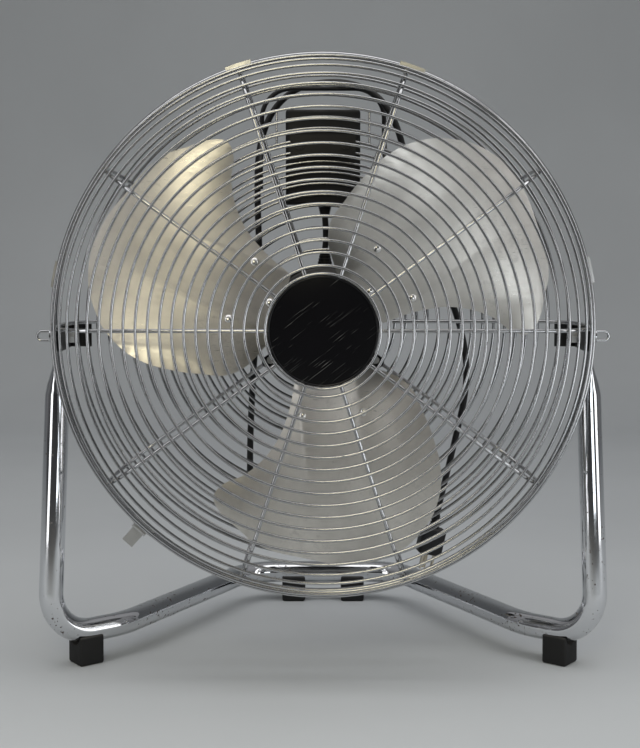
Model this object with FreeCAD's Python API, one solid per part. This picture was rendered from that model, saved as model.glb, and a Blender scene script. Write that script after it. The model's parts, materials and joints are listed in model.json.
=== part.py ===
import FreeCAD, Part
import math
import os

# Floor fan: a wire cage with a motor and three blades, tilting on a bent tube stand.
# Millimetres. +Z is up, the fan blows towards -Y, and +X is right as seen from the front.
# The shapes are drawn with the tilt axis over Y = 0. Saving moves them by frame_y, so that
# the origin lies on the floor below the middle of the part.

V = FreeCAD.Vector

# Cage: wires, rings and depths
axis_height = 360.0       # fan axis above the floor
spoke_count = 10
spoke_d = 4.0
ring_d = 3.0
rim_d = 6.0
ring_pitch = 11.65
first_face_ring_r = 76.3
face_ring_count = 13
badge_ring_r = 55.8       # inner pair of rings round the badge
badge_ring_step = 7.8
shoulder_r = 52.0         # bend of a spoke between the face and the wall
front_shoulder_rings = 6
rear_shoulder_rings = 4
shoulder_ring_angle = 12.02  # degrees of the bend from one shoulder ring to the next
front_depth = 68.0        # face spokes to the middle of the rim
rear_depth = 63.0         # middle of the rim to the back spokes
rim_forward = 44.0        # middle of the rim ahead of the tilt axis
spoke_end_overlap = 1.0   # how far a spoke stops short of the middle of the rim
front_spoke_inner_r = 46.0
rear_spoke_inner_r = 73.0
rear_rings_left_out = 0   # inner face rings that the back lacks
weld_gap = 0.02           # between wires that are welded together

# Rim clips and latch
clip_angles = (12.0, 71.0, 108.0, 169.0, 312.0)
latch_angle = 228.0
clip_arc = 5.5            # degrees of rim that a clip covers
clip_wall = 1.0
clip_gap = 0.25
clip_lip = 5.0
latch_pin_d = 2.4
latch_width = 13.0
latch_reach = 19.0
latch_wall = 1.5
latch_ear_wall = 1.5

# Badge plate on the front of the cage
badge_r = 54.0
badge_wall = 1.6
badge_rim_width = 2.4
badge_rim_height = 1.2
badge_crown = 2.0
retainer_r = 50.0
retainer_hole_r = 34.0
retainer_wall = 1.5
badge_screw_d = 4.0
badge_screw_head_h = 1.5
badge_screw_ring_r = 41.0
badge_screw_angles = (18.0, 126.0, 234.0)

# Blades, spider and rivets
blade_angles = (156.0, 36.0, 276.0)
blade_names = ("blade_left", "blade_right", "blade_lower")
blade_wall = 1.6
blade_curve_r = 420.0     # curve of the sheet across the blade
blade_pitch = 16.0        # slope of the sheet at the arm, in degrees
blade_setback = 64.0      # sheet at the arm, behind the face spokes
blade_tip_gap = 21.0      # between the tips and the cage wall
# Outline of a blade: along the arm and across it, as shares of the tip radius
blade_outline = (
    (0.165, 0.120), (0.255, 0.312), (0.385, 0.369), (0.505, 0.400), (0.612, 0.412),
    (0.742, 0.388), (0.860, 0.318), (0.967, 0.180), (1.000, 0.000), (0.965, -0.180),
    (0.893, -0.370), (0.815, -0.448), (0.734, -0.516), (0.672, -0.533), (0.628, -0.494),
    (0.590, -0.388), (0.486, -0.260), (0.354, -0.184), (0.208, -0.138),
)
arm_wall = 2.5
arm_reach = 110.0
arm_root_half = 20.0
arm_end_half = 43.0
arm_flare = 15.0          # length over which the arm widens
arm_split = 1.0           # keeps the roots of the arms apart inside the boss
sheet_gap = 0.05          # between riveted sheets
rivet_d = 4.8
rivet_head_d = 9.0
rivet_head_h = 1.8
rivet_fit = 0.05
rivet_end_gap = 20.0      # outer rivets, in from the end of the arm
rivet_side_gap = 12.0     # outer rivets, in from the sides of the arm
rivet_root_gap = 13.3     # inner rivet, out from the root of the blade
boss_d = 40.0
boss_front = 12.0         # boss ahead of the sheet at the arm
boss_length = 40.0
set_screw_d = 6.0

# Motor
shaft_d = 12.7
shaft_front = 6.0         # shaft end ahead of the boss
running_fit = 0.05
plate_wall = 2.3
plate_rim = 4.0           # width of the plate round its bore
motor_front_r = 57.0
motor_rear_r = 55.5
motor_wall = 2.0
motor_front_length = 34.0
motor_rear_length = 57.0
motor_edge_round = 9.0
flange_width = 3.0
flange_wall = 3.0
bore_gap = 0.6            # round the motor in its plate and round the shaft in the shells
ear_angles = (36.0, 144.0, 216.0, 324.0)  # ears of plate and flange, each under a back spoke
ear_width = 12.0
ear_overlap = 5.0         # length of spoke that is welded to an ear
motor_bolt_d = 5.0
bolt_gap = 0.5            # between a bolt's nut and the end of the spoke
bearing_r = 14.0
bearing_length = 12.0
stator_fit = 0.1          # between the stator and the shell that holds it
stator_length = 36.0
stator_bore_r = 28.0
air_gap = 0.6
winding_r = 46.0
winding_length = 10.0

# Switch box at the top of the back
box_half_width = 39.5
box_bottom = 123.6        # above the fan axis
box_top = 224.0
box_depth = 42.0
box_wall = 2.2
box_round = 4.0
cover_wall = 3.5
seat_gap = 0.08
knob_r = 19.0
knob_length = 17.0
knob_gap = 0.4
spindle_d = 6.0
switch_size = 34.0
switch_depth = 24.0
cover_screw_d = 4.0
cover_screw_head_h = 2.0
cover_screw_depth = 12.0
cover_screw_inset = 8.0
post_r = 5.0
strap_half_width = 34.5
strap_wall = 3.0
strap_round = 2.0
strap_screw_head_h = 2.4
strap_screw_x = 24.0
strap_screw_d = 4.0
strap_lower_ring = 9      # the strap lies across this ring and the next

# Leads and the power cord
cord_d = 7.0
lead_d = 6.5
lead_x = 2.0
lead_y = 48.0
lead_gland_length = 12.0
motor_gland_length = 20.0
cord_gland_x = 28.0
cord_gland_y = 54.0
cord_gland_length = 22.0
gland_top_r = 7.5
gland_end_r = 4.6
motor_gland_r = 9.0

# Short guide wires beside the box, welded across the back rings
guide_d = 2.5
guide_x = 49.0
guide_low_z = 187.0       # heights above the fan axis
guide_high_z = 221.0

# Wire hanger for the cord, welded to the back rings
hanger_d = 5.0
hanger_x = 66.0
hanger_y = 60.0
hanger_foot_z = 140.0     # heights above the fan axis
hanger_low_bend_z = 165.0
hanger_high_bend_z = 200.0
hanger_top_z = 249.0
hanger_bend_r = 18.0
hanger_corner_r = 32.0

# Route of the power cord: x, y and height above the fan axis
cord_route = (
    (28.0, 54.0, 101.6), (28.0, 54.0, 79.6), (28.5, 70.0, 56.0), (30.0, 88.0, 24.0),
    (31.0, 94.0, -22.0), (28.0, 90.0, -82.0), (20.0, 82.0, -138.0), (11.0, 78.0, -174.0),
    (3.0, 77.0, -198.0), (-3.0, 76.5, -218.0), (-18.0, 76.0, -233.0), (-39.0, 76.0, -238.0),
    (-60.0, 76.5, -231.0), (-75.0, 76.0, -215.0), (-80.0, 76.0, -194.0), (-81.0, 75.5, -158.0),
    (-79.0, 74.0, -98.0), (-74.0, 73.0, -20.0), (-69.0, 73.0, 60.0), (-72.0, 75.0, 130.0),
    (-71.0, 76.0, 184.0), (-58.0, 76.0, 224.0), (-34.0, 71.0, 248.0), (-8.0, 65.0, 256.0),
    (26.0, 56.0, 256.0), (56.0, 49.0, 244.0), (77.0, 45.0, 216.0), (90.0, 48.0, 170.0),
    (108.0, 58.0, 104.0), (130.0, 67.0, 46.0), (149.0, 73.0, -2.0), (158.0, 76.0, -42.0),
    (158.0, 77.0, -82.0), (149.0, 77.0, -122.0), (140.0, 76.0, -160.0), (132.0, 76.5, -193.0),
    (126.0, 76.0, -219.0),
)

# Plug on the end of the cord
plug_length = 30.0
plug_width = 27.0
plug_depth = 20.0
plug_round = 4.0
plug_neck_length = 14.0
plug_neck_r = 5.2
prong_length = 17.0
prong_width = 6.4
prong_wall = 1.5
prong_spacing = 12.7
ground_d = 4.8
ground_offset = 6.0       # ground pin and flat prongs, each side of the middle

# Pivots
pivot_drop = 14.0         # tilt axis below the fan axis
bracket_wall = 3.0
bracket_half_height = 12.0
bracket_gap = 0.3
bracket_lip = 21.0
bracket_lip_ring = 3      # shoulder ring of the back that the lip rests on
washer_r = 13.0
washer_wall = 6.0
tab_wall = 5.0
tab_half_width = 18.0
tab_above = 16.0          # tab above the tilt axis
tab_below = 21.0
screw_d = 8.0
screw_fit = 0.08
collar_r = 7.0
collar_length = 5.0
loop_wire_d = 3.0
loop_half_height = 4.8
loop_reach = 15.0
nut_flats = 13.0
nut_length = 6.4

# Stand and feet
tube_d = 25.4
tube_wall = 1.5
tube_taper = 40.0         # length over which the tube is pressed flat
upright_splay = 6.3       # base wider than the pivots, each side
upright_lean = 25.0       # base corner ahead of the tilt axis
base_depth = 250.0        # tilt axis to the rear bar
rear_bar_half = 92.0      # to the corner of the tube's middle line
elbow_in = 69.0           # second corner of the base, inwards from the first
elbow_back = 52.0         # and behind it
upright_bend_r = 44.0
elbow_bend_r = 90.0
rear_bend_r = 60.0
foot_sole = 21.0
foot_height = 31.0
foot_length = 28.0
foot_width = 28.0
foot_round = 3.0
saddle_gap = 0.1
front_foot_along = 42.0   # from the corner of the tube, along the base
rear_foot_x = 36.0
foot_screw_d = 5.0
foot_screw_head_d = 10.0
foot_screw_head_h = 3.0
foot_recess = 5.0
hole_fit = 0.1

# Places that follow from the sizes above
face_y = -rim_forward - front_depth
back_y = -rim_forward + rear_depth
flat_r = first_face_ring_r + ring_pitch * (face_ring_count - 1)
wall_r = flat_r + shoulder_r
ring_lift = (spoke_d + ring_d) / 2 + weld_gap
rim_r = wall_r + (spoke_d + rim_d) / 2 + weld_gap
rim_inner_r = rim_r - rim_d / 2
rim_outer_r = rim_r + rim_d / 2
rim_step = rim_d / 2 + weld_gap
pivot_z = axis_height - pivot_drop
blade_y = face_y + blade_setback
blade_tip_r = wall_r - spoke_d / 2 - blade_tip_gap
blade_root_r = blade_tip_r * (blade_outline[0][0] + blade_outline[-1][0]) / 2
rivet_outer_along = arm_reach - rivet_end_gap
rivet_outer_across = arm_end_half - rivet_side_gap
rivet_inner_along = blade_root_r + rivet_root_gap
arm_neck = rivet_outer_along - rivet_head_d - arm_flare
pitch = math.radians(blade_pitch)
plate_back_y = back_y - spoke_d / 2 - weld_gap
plate_front_y = plate_back_y - plate_wall
motor_front_y = plate_front_y - motor_front_length
motor_rear_y = plate_front_y + motor_rear_length
plate_bore_r = motor_rear_r + bore_gap
stator_r = motor_rear_r - motor_wall - stator_fit
ear_reach = rear_spoke_inner_r + ear_overlap
motor_nut_r = motor_bolt_d * 0.85
bolt_ring_r = rear_spoke_inner_r - bolt_gap - motor_nut_r
box_front_y = back_y + ring_lift + ring_d / 2 + seat_gap
box_rear_y = box_front_y + box_depth
cover_rear_y = box_rear_y + cover_wall
box_middle_z = (box_bottom + box_top) / 2
bracket_low = pivot_drop + bracket_half_height
bracket_out = math.sqrt(rim_inner_r ** 2 - bracket_low ** 2) - bracket_gap
bracket_in = bracket_out - bracket_wall
washer_in = bracket_out + bracket_gap
tab_in = washer_in + washer_wall + bracket_gap
tab_out = tab_in + tab_wall
tab_x = (tab_in + tab_out) / 2
collar_in = tab_out + bracket_gap
collar_out = collar_in + collar_length
base_x = tab_x + upright_splay
base_z = foot_sole + tube_d / 2 + saddle_gap
base_corner = V(base_x, -upright_lean, base_z)
elbow = base_corner + V(-elbow_in, elbow_back, 0)
neck_z = pivot_z - tab_below - tube_taper
neck_y = -upright_lean * (tab_below + tube_taper) / (pivot_z - base_z)
neck = V(tab_x, neck_y, neck_z)
badge_front_y = face_y - spoke_d / 2 - weld_gap - badge_wall - max(badge_rim_height, badge_crown)
ring_front_y = face_y - ring_lift - ring_d / 2
frame_y = -(min(badge_front_y, ring_front_y) + base_depth + tube_d / 2) / 2


def cylinder_y(radius, y_low, y_high, x=0.0, z=0.0):
    """A round bar along Y, with x and z measured from the fan axis."""
    return Part.makeCylinder(radius, y_high - y_low, V(x, y_low, axis_height + z), V(0, 1, 0))


def cylinder_x(radius, x_low, x_high, y, z):
    """A round bar along X, with z above the floor."""
    return Part.makeCylinder(radius, x_high - x_low, V(x_low, y, z), V(1, 0, 0))


def tube_between(radius_low, radius_high, start, end):
    """A round or tapered bar from one point to another."""
    along = end - start
    if abs(radius_low - radius_high) < 1e-9:
        return Part.makeCylinder(radius_low, along.Length, start, along)
    return Part.makeCone(radius_low, radius_high, along.Length, start, along)


def block(x, y, z):
    """A box from three pairs of limits, with z above the floor."""
    return Part.makeBox(x[1] - x[0], y[1] - y[0], z[1] - z[0], V(x[0], y[0], z[0]))


def turned(shape, angle):
    """A copy turned about the fan axis, anticlockwise as seen from the front."""
    copy = shape.copy()
    copy.rotate(V(0, 0, axis_height), V(0, -1, 0), angle)
    return copy


def mirrored(shape):
    """The same piece on the other side of the fan."""
    return shape.mirror(V(0, 0, 0), V(1, 0, 0))


def rounded_path(points, radii):
    """Straight runs joined by tangent arcs, with one radius per inner point."""
    edges = []
    last = points[0]
    for index in range(1, len(points) - 1):
        corner = points[index]
        back = (points[index - 1] - corner).normalize()
        ahead = (points[index + 1] - corner).normalize()
        half_turn = (math.pi - back.getAngle(ahead)) / 2
        radius = radii[index - 1]
        trim = radius * math.tan(half_turn)
        start = corner + back * trim
        end = corner + ahead * trim
        middle_line = (back + ahead).normalize()
        middle = corner + middle_line * (radius / math.cos(half_turn) - radius)
        if (start - last).Length > 1e-6:
            edges.append(Part.LineSegment(last, start).toShape())
        edges.append(Part.Arc(start, middle, end).toShape())
        last = end
    edges.append(Part.LineSegment(last, points[-1]).toShape())
    return Part.Wire(edges)


def swept_rod(path, radius):
    """A round rod along a path of lines and arcs."""
    first = path.OrderedEdges[0]
    start = first.valueAt(first.FirstParameter)
    direction = first.tangentAt(first.FirstParameter)
    profile = Part.Wire(Part.makeCircle(radius, start, direction))
    return path.makePipeShell([profile], True, False)


def save(node, shape):
    """Move a node into the part's frame and write it."""
    moved = shape.copy()
    moved.translate(V(0, frame_y, 0))
    moved.exportStep("parts/" + node + ".step")


def guard_ring(radius, y, wire_d):
    """One wire ring about the fan axis."""
    return Part.makeTorus(radius, wire_d / 2, V(0, y, axis_height), V(0, 1, 0))


def shoulder_ring_places(count, centre_y, side):
    """Radius and Y of rings that step round the shoulder. Side is -1 at the front."""
    bend = shoulder_r + ring_lift
    places = []
    for step in range(1, count + 1):
        turn = step * math.radians(shoulder_ring_angle)
        places.append((flat_r + bend * math.sin(turn), centre_y + side * bend * math.cos(turn)))
    return places


def guard_rings(side, inner_radii, left_out, shoulder_count):
    """All rings of one half of the cage, its rim wire last."""
    flat_y = face_y if side < 0 else back_y
    ring_y = flat_y + side * ring_lift
    radii = list(inner_radii)
    for index in range(left_out, face_ring_count):
        radii.append(first_face_ring_r + index * ring_pitch)
    rings = [guard_ring(radius, ring_y, ring_d) for radius in radii]
    for radius, y in shoulder_ring_places(shoulder_count, flat_y - side * shoulder_r, side):
        rings.append(guard_ring(radius, y, ring_d))
    rings.append(guard_ring(rim_r, -rim_forward + side * rim_step, rim_d))
    return Part.makeCompound(rings)


def guard_spokes(side, inner_r):
    """The bent spokes of one half of the cage."""
    flat_y = face_y if side < 0 else back_y
    end_y = -rim_forward + side * spoke_end_overlap
    points = [
        V(inner_r, flat_y, axis_height),
        V(wall_r, flat_y, axis_height),
        V(wall_r, end_y, axis_height),
    ]
    spoke = swept_rod(rounded_path(points, [shoulder_r]), spoke_d / 2)
    step = 360.0 / spoke_count
    return Part.makeCompound([turned(spoke, step * index) for index in range(spoke_count)])


def rim_clip(angle):
    """A sheet clip that wraps both rim wires from outside."""
    low_y = -rim_forward - rim_step - rim_d / 2 - clip_gap - clip_wall
    high_y = -rim_forward + rim_step + rim_d / 2 + clip_gap + clip_wall
    web = rim_outer_r + clip_gap
    corners = [
        (web + clip_wall, low_y), (web + clip_wall, high_y), (web - clip_lip, high_y),
        (web - clip_lip, high_y - clip_wall), (web, high_y - clip_wall), (web, low_y + clip_wall),
        (web - clip_lip, low_y + clip_wall), (web - clip_lip, low_y),
    ]
    points = [V(r, y, axis_height) for r, y in corners]
    face = Part.Face(Part.makePolygon(points + points[:1]))
    clip = face.revolve(V(0, 0, axis_height), V(0, -1, 0), clip_arc)
    return turned(clip, angle - clip_arc / 2)


def build_latch():
    """The clip with ears, its pin, and the lever that hangs open on it."""
    seat = rim_outer_r + clip_gap + clip_wall
    pin_r = seat + latch_pin_d / 2 + latch_wall + clip_gap
    ear_in = latch_width / 2 + clip_gap
    ear_out = ear_in + latch_ear_wall
    half_ear = latch_pin_d / 2 + latch_wall
    pin_bore = latch_pin_d / 2 + running_fit
    ears = []
    for side in (-1, 1):
        low, high = sorted((side * ear_in, side * ear_out))
        ear = block((seat - clip_wall / 2, pin_r), (-half_ear, half_ear), (low, high))
        ear = ear.fuse(Part.makeCylinder(half_ear, high - low, V(pin_r, 0, low)))
        ears.append(ear.cut(Part.makeCylinder(pin_bore, high - low, V(pin_r, 0, low))))
    pin = Part.makeCylinder(latch_pin_d / 2, 2 * ear_out, V(pin_r, 0, -ear_out))
    knuckle = Part.makeCylinder(half_ear, latch_width, V(pin_r, 0, -latch_width / 2))
    tongue = block(
        (pin_r, pin_r + latch_reach), (-latch_wall / 2, latch_wall / 2), (-latch_width / 2, latch_width / 2)
    )
    lever = knuckle.fuse(tongue)
    lever = lever.cut(Part.makeCylinder(pin_bore, latch_width, V(pin_r, 0, -latch_width / 2)))
    pieces = []
    for shape in (ears[0], ears[1], pin, lever):
        shape.translate(V(0, -rim_forward, axis_height))
        pieces.append(turned(shape, latch_angle))
    clip = rim_clip(latch_angle).fuse(pieces[:2])
    save("latch_clip", clip)
    save("latch_pin", pieces[2])
    save("latch_lever", pieces[3])
    hinge = turned(Part.Vertex(V(pin_r, -rim_forward, axis_height)), latch_angle).Point
    print("latch hinge", hinge + V(0, frame_y, 0))


def build_badge():
    """The plain front plate, the plate behind the spokes, and the screws that join them."""
    back = face_y - spoke_d / 2 - weld_gap
    front = back - badge_wall
    crown_inner = badge_r - badge_rim_width
    sphere_r = (crown_inner ** 2 + badge_crown ** 2) / (2 * badge_crown)
    sphere = Part.makeSphere(sphere_r, V(0, front - badge_crown + sphere_r, axis_height))
    crown = sphere.common(cylinder_y(crown_inner, front - badge_crown, front))
    rim = cylinder_y(badge_r, front - badge_rim_height, front).cut(
        cylinder_y(crown_inner, front - badge_rim_height, front)
    )
    disc = cylinder_y(badge_r, front, back).fuse([crown, rim])
    behind = face_y + spoke_d / 2 + weld_gap
    retainer = cylinder_y(retainer_r, behind, behind + retainer_wall).cut(
        cylinder_y(retainer_hole_r, behind, behind + retainer_wall)
    )
    screws = []
    for angle in badge_screw_angles:
        seat = behind + retainer_wall
        shank = cylinder_y(badge_screw_d / 2, back, seat, badge_screw_ring_r)
        head = cylinder_y(badge_screw_d, seat, seat + badge_screw_head_h, badge_screw_ring_r)
        hole = cylinder_y(
            badge_screw_d / 2 + hole_fit, behind, behind + retainer_wall, badge_screw_ring_r
        )
        screws.append(turned(shank.fuse(head), angle))
        retainer = retainer.cut(turned(hole, angle))
    save("badge_plate", disc)
    save("badge_retainer", retainer)
    save("badge_screws", Part.makeCompound(screws))


def sheet_layer(inner_offset, outer_offset, outline):
    """A piece of the curved blade sheet. Offsets are measured rearwards from its front face."""
    axis_point = V(
        -blade_tip_r, blade_y - blade_curve_r * math.cos(pitch),
        axis_height - blade_curve_r * math.sin(pitch),
    )
    length = 3 * blade_tip_r
    outer = Part.makeCylinder(blade_curve_r + outer_offset, length, axis_point, V(1, 0, 0))
    inner = Part.makeCylinder(blade_curve_r + inner_offset, length, axis_point, V(1, 0, 0))
    reach = blade_curve_r / 2
    prism = outline.copy()
    prism.translate(V(0, -reach, 0))
    prism = prism.extrude(V(0, 2 * reach, 0))
    return outer.cut(inner).common(prism)


def blade_face():
    """The flat outline of a blade whose arm lies along +X."""
    points = []
    for along, across in blade_outline:
        points.append(V(along * blade_tip_r, blade_y, axis_height + across * blade_tip_r))
    curve = Part.BSplineCurve()
    curve.interpolate(Points=points, PeriodicFlag=False)
    closing = Part.LineSegment(points[-1], points[0]).toShape()
    return Part.Face(Part.Wire([curve.toShape(), closing]))


def arm_face():
    """The flat outline of one spider arm along +X."""
    root = arm_root_half / math.tan(math.pi / len(blade_angles)) + arm_split
    half = [(root, arm_root_half), (arm_neck, arm_root_half)]
    half += [(rivet_outer_along - rivet_head_d, arm_end_half), (arm_reach, arm_end_half)]
    corners = half + [(along, -across) for along, across in reversed(half)]
    points = [V(along, blade_y, axis_height + across) for along, across in corners]
    return Part.Face(Part.makePolygon(points + points[:1]))


def rivet(along, across):
    """A rivet square to the sheet, and the bar that bores its holes."""
    slope = math.asin(across / blade_curve_r + math.sin(pitch))
    forward = blade_curve_r * (math.cos(pitch) - math.cos(slope))
    front = V(along, blade_y - forward, axis_height + across)
    inward = V(0, math.cos(slope), math.sin(slope))
    stack = blade_wall + sheet_gap + arm_wall
    lift = inward * sheet_gap
    back = front + inward * stack
    shank = tube_between(rivet_d / 2, rivet_d / 2, front - lift, back + lift)
    head = tube_between(rivet_head_d / 2, rivet_d / 2, front - lift, front - lift - inward * rivet_head_h)
    tail = tube_between(rivet_head_d / 2, rivet_d / 2, back + lift, back + lift + inward * rivet_head_h)
    bore_r = rivet_d / 2 + rivet_fit
    bore = tube_between(bore_r, bore_r, front - inward * stack, back + inward * stack)
    return shank.fuse([head, tail]), bore


def build_rotor():
    """Blades, spider, rivets, shaft and rotor core."""
    places = [(rivet_inner_along, 0.0)]
    places += [(rivet_outer_along, rivet_outer_across), (rivet_outer_along, -rivet_outer_across)]
    rivets, bores = zip(*[rivet(along, across) for along, across in places])
    blade = sheet_layer(0.0, blade_wall, blade_face())
    arm_start = blade_wall + sheet_gap
    arm = sheet_layer(arm_start, arm_start + arm_wall, arm_face())
    for bore in bores:
        blade = blade.cut(bore)
        arm = arm.cut(bore)
    boss_y = blade_y - boss_front
    spider = cylinder_y(boss_d / 2, boss_y, boss_y + boss_length)
    spider = spider.fuse([turned(arm, angle) for angle in blade_angles])
    bore_r = shaft_d / 2 + running_fit
    spider = spider.cut(cylinder_y(bore_r, boss_y - boss_length, boss_y + 2 * boss_length))
    screw_y = boss_y + boss_length - set_screw_d * 1.5
    screw_start = V(0, screw_y, axis_height + bore_r)
    screw_end = V(0, screw_y, axis_height + boss_d / 2)
    hole_r = set_screw_d / 2 + hole_fit
    bore_middle = V(0, screw_y, axis_height)
    spider = spider.cut(tube_between(hole_r, hole_r, bore_middle, screw_end))
    save("blade_spider", spider)
    save("hub_set_screw", tube_between(set_screw_d / 2, set_screw_d / 2, screw_start, screw_end))
    for name, angle in zip(blade_names, blade_angles):
        save(name, turned(blade, angle))
    all_rivets = [turned(one, angle) for angle in blade_angles for one in rivets]
    save("blade_rivets", Part.makeCompound(all_rivets))
    shaft_end = motor_rear_y - motor_wall - running_fit
    save("motor_shaft", cylinder_y(shaft_d / 2, boss_y - shaft_front, shaft_end))
    core_low, core_high = stator_span()
    core = cylinder_y(stator_bore_r - air_gap, core_low, core_high)
    save("rotor_core", core.cut(cylinder_y(shaft_d / 2, core_low, core_high)))


def stator_span():
    """Y limits of the stator, in the middle of the motor."""
    middle = (motor_front_y + motor_rear_y) / 2
    return middle - stator_length / 2, middle + stator_length / 2


def motor_shell(radius, closed_y, open_y):
    """A cup with a rounded closed end."""
    low, high = sorted((closed_y, open_y))
    outer = cylinder_y(radius, low, high)
    outer = outer.makeFillet(motor_edge_round, end_edges(outer, closed_y))
    inward = motor_wall if closed_y < open_y else -motor_wall
    low, high = sorted((closed_y + inward, open_y))
    inner = cylinder_y(radius - motor_wall, low, high)
    inner = inner.makeFillet(motor_edge_round - motor_wall, end_edges(inner, closed_y + inward))
    return outer.cut(inner)


def end_edges(bar, y):
    """The round edge of a bar at one end."""
    return [edge for edge in bar.Edges if edge.Length > motor_wall and
            abs(edge.BoundBox.YMin - y) < 1e-4 and abs(edge.BoundBox.YMax - y) < 1e-4]


def eared_disc(radius, low, high):
    """A disc with an ear under each of the back spokes that carry the motor."""
    disc = cylinder_y(radius, low, high)
    end_r = ear_width / 2
    for angle in ear_angles:
        ear = block((0.0, ear_reach - end_r), (low, high), (axis_height - end_r, axis_height + end_r))
        ear = ear.fuse(cylinder_y(end_r, low, high, ear_reach - end_r))
        disc = disc.fuse(turned(ear, angle))
    return disc


def build_motor():
    """Motor shells, mounting plate, bolts, bearings, stator and windings."""
    flange_y = plate_front_y - flange_wall
    flange = eared_disc(motor_front_r + flange_width, flange_y, plate_front_y)
    flange = flange.cut(cylinder_y(motor_rear_r - motor_wall, flange_y, plate_front_y))
    front = motor_shell(motor_front_r, motor_front_y, plate_front_y).fuse(flange)
    front = front.cut(cylinder_y(shaft_d / 2 + bore_gap, motor_front_y, motor_front_y + motor_wall))
    rear = motor_shell(motor_rear_r, motor_rear_y, plate_front_y)
    plate = eared_disc(plate_bore_r + plate_rim, plate_front_y, plate_back_y)
    plate = plate.cut(cylinder_y(plate_bore_r, plate_front_y, plate_back_y))
    bolts = []
    for angle in ear_angles:
        head_y = flange_y
        shank = cylinder_y(motor_bolt_d / 2, head_y, plate_back_y + motor_bolt_d, bolt_ring_r)
        head = cylinder_y(motor_bolt_d * 0.8, head_y - motor_bolt_d * 0.6, head_y, bolt_ring_r)
        nut = cylinder_y(motor_nut_r, plate_back_y, plate_back_y + motor_bolt_d * 0.8, bolt_ring_r)
        hole = turned(cylinder_y(motor_bolt_d / 2 + hole_fit, head_y, plate_back_y, bolt_ring_r), angle)
        bolts.append(turned(shank.fuse([head, nut]), angle))
        front = front.cut(hole)
        plate = plate.cut(hole)
    bearings = {
        "front_bearing": (motor_front_y + motor_wall, motor_front_y + motor_wall + bearing_length),
        "rear_bearing": (motor_rear_y - motor_wall - bearing_length, motor_rear_y - motor_wall),
    }
    for node, (low, high) in bearings.items():
        sleeve = cylinder_y(bearing_r, low, high).cut(cylinder_y(shaft_d / 2 + running_fit, low, high))
        save(node, sleeve)
    low, high = stator_span()
    stator = cylinder_y(stator_r, low, high).cut(cylinder_y(stator_bore_r, low, high))
    coil_bore = stator_bore_r + air_gap
    coils = []
    for start, end in ((low - winding_length, low), (high, high + winding_length)):
        coils.append(cylinder_y(winding_r, start, end).cut(cylinder_y(coil_bore, start, end)))
    save("motor_front_shell", front)
    save("motor_rear_shell", rear)
    save("motor_plate", plate)
    save("motor_bolts", Part.makeCompound(bolts))
    save("stator_core", stator)
    save("stator_windings", Part.makeCompound(coils))


def box_shell(x_half, y, z, rounding):
    """A box with rounded edges along Y."""
    shape = block((-x_half, x_half), y, (axis_height + z[0], axis_height + z[1]))
    edges = [edge for edge in shape.Edges if abs(edge.BoundBox.YLength - (y[1] - y[0])) < 1e-4]
    return shape.makeFillet(rounding, edges)


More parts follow.
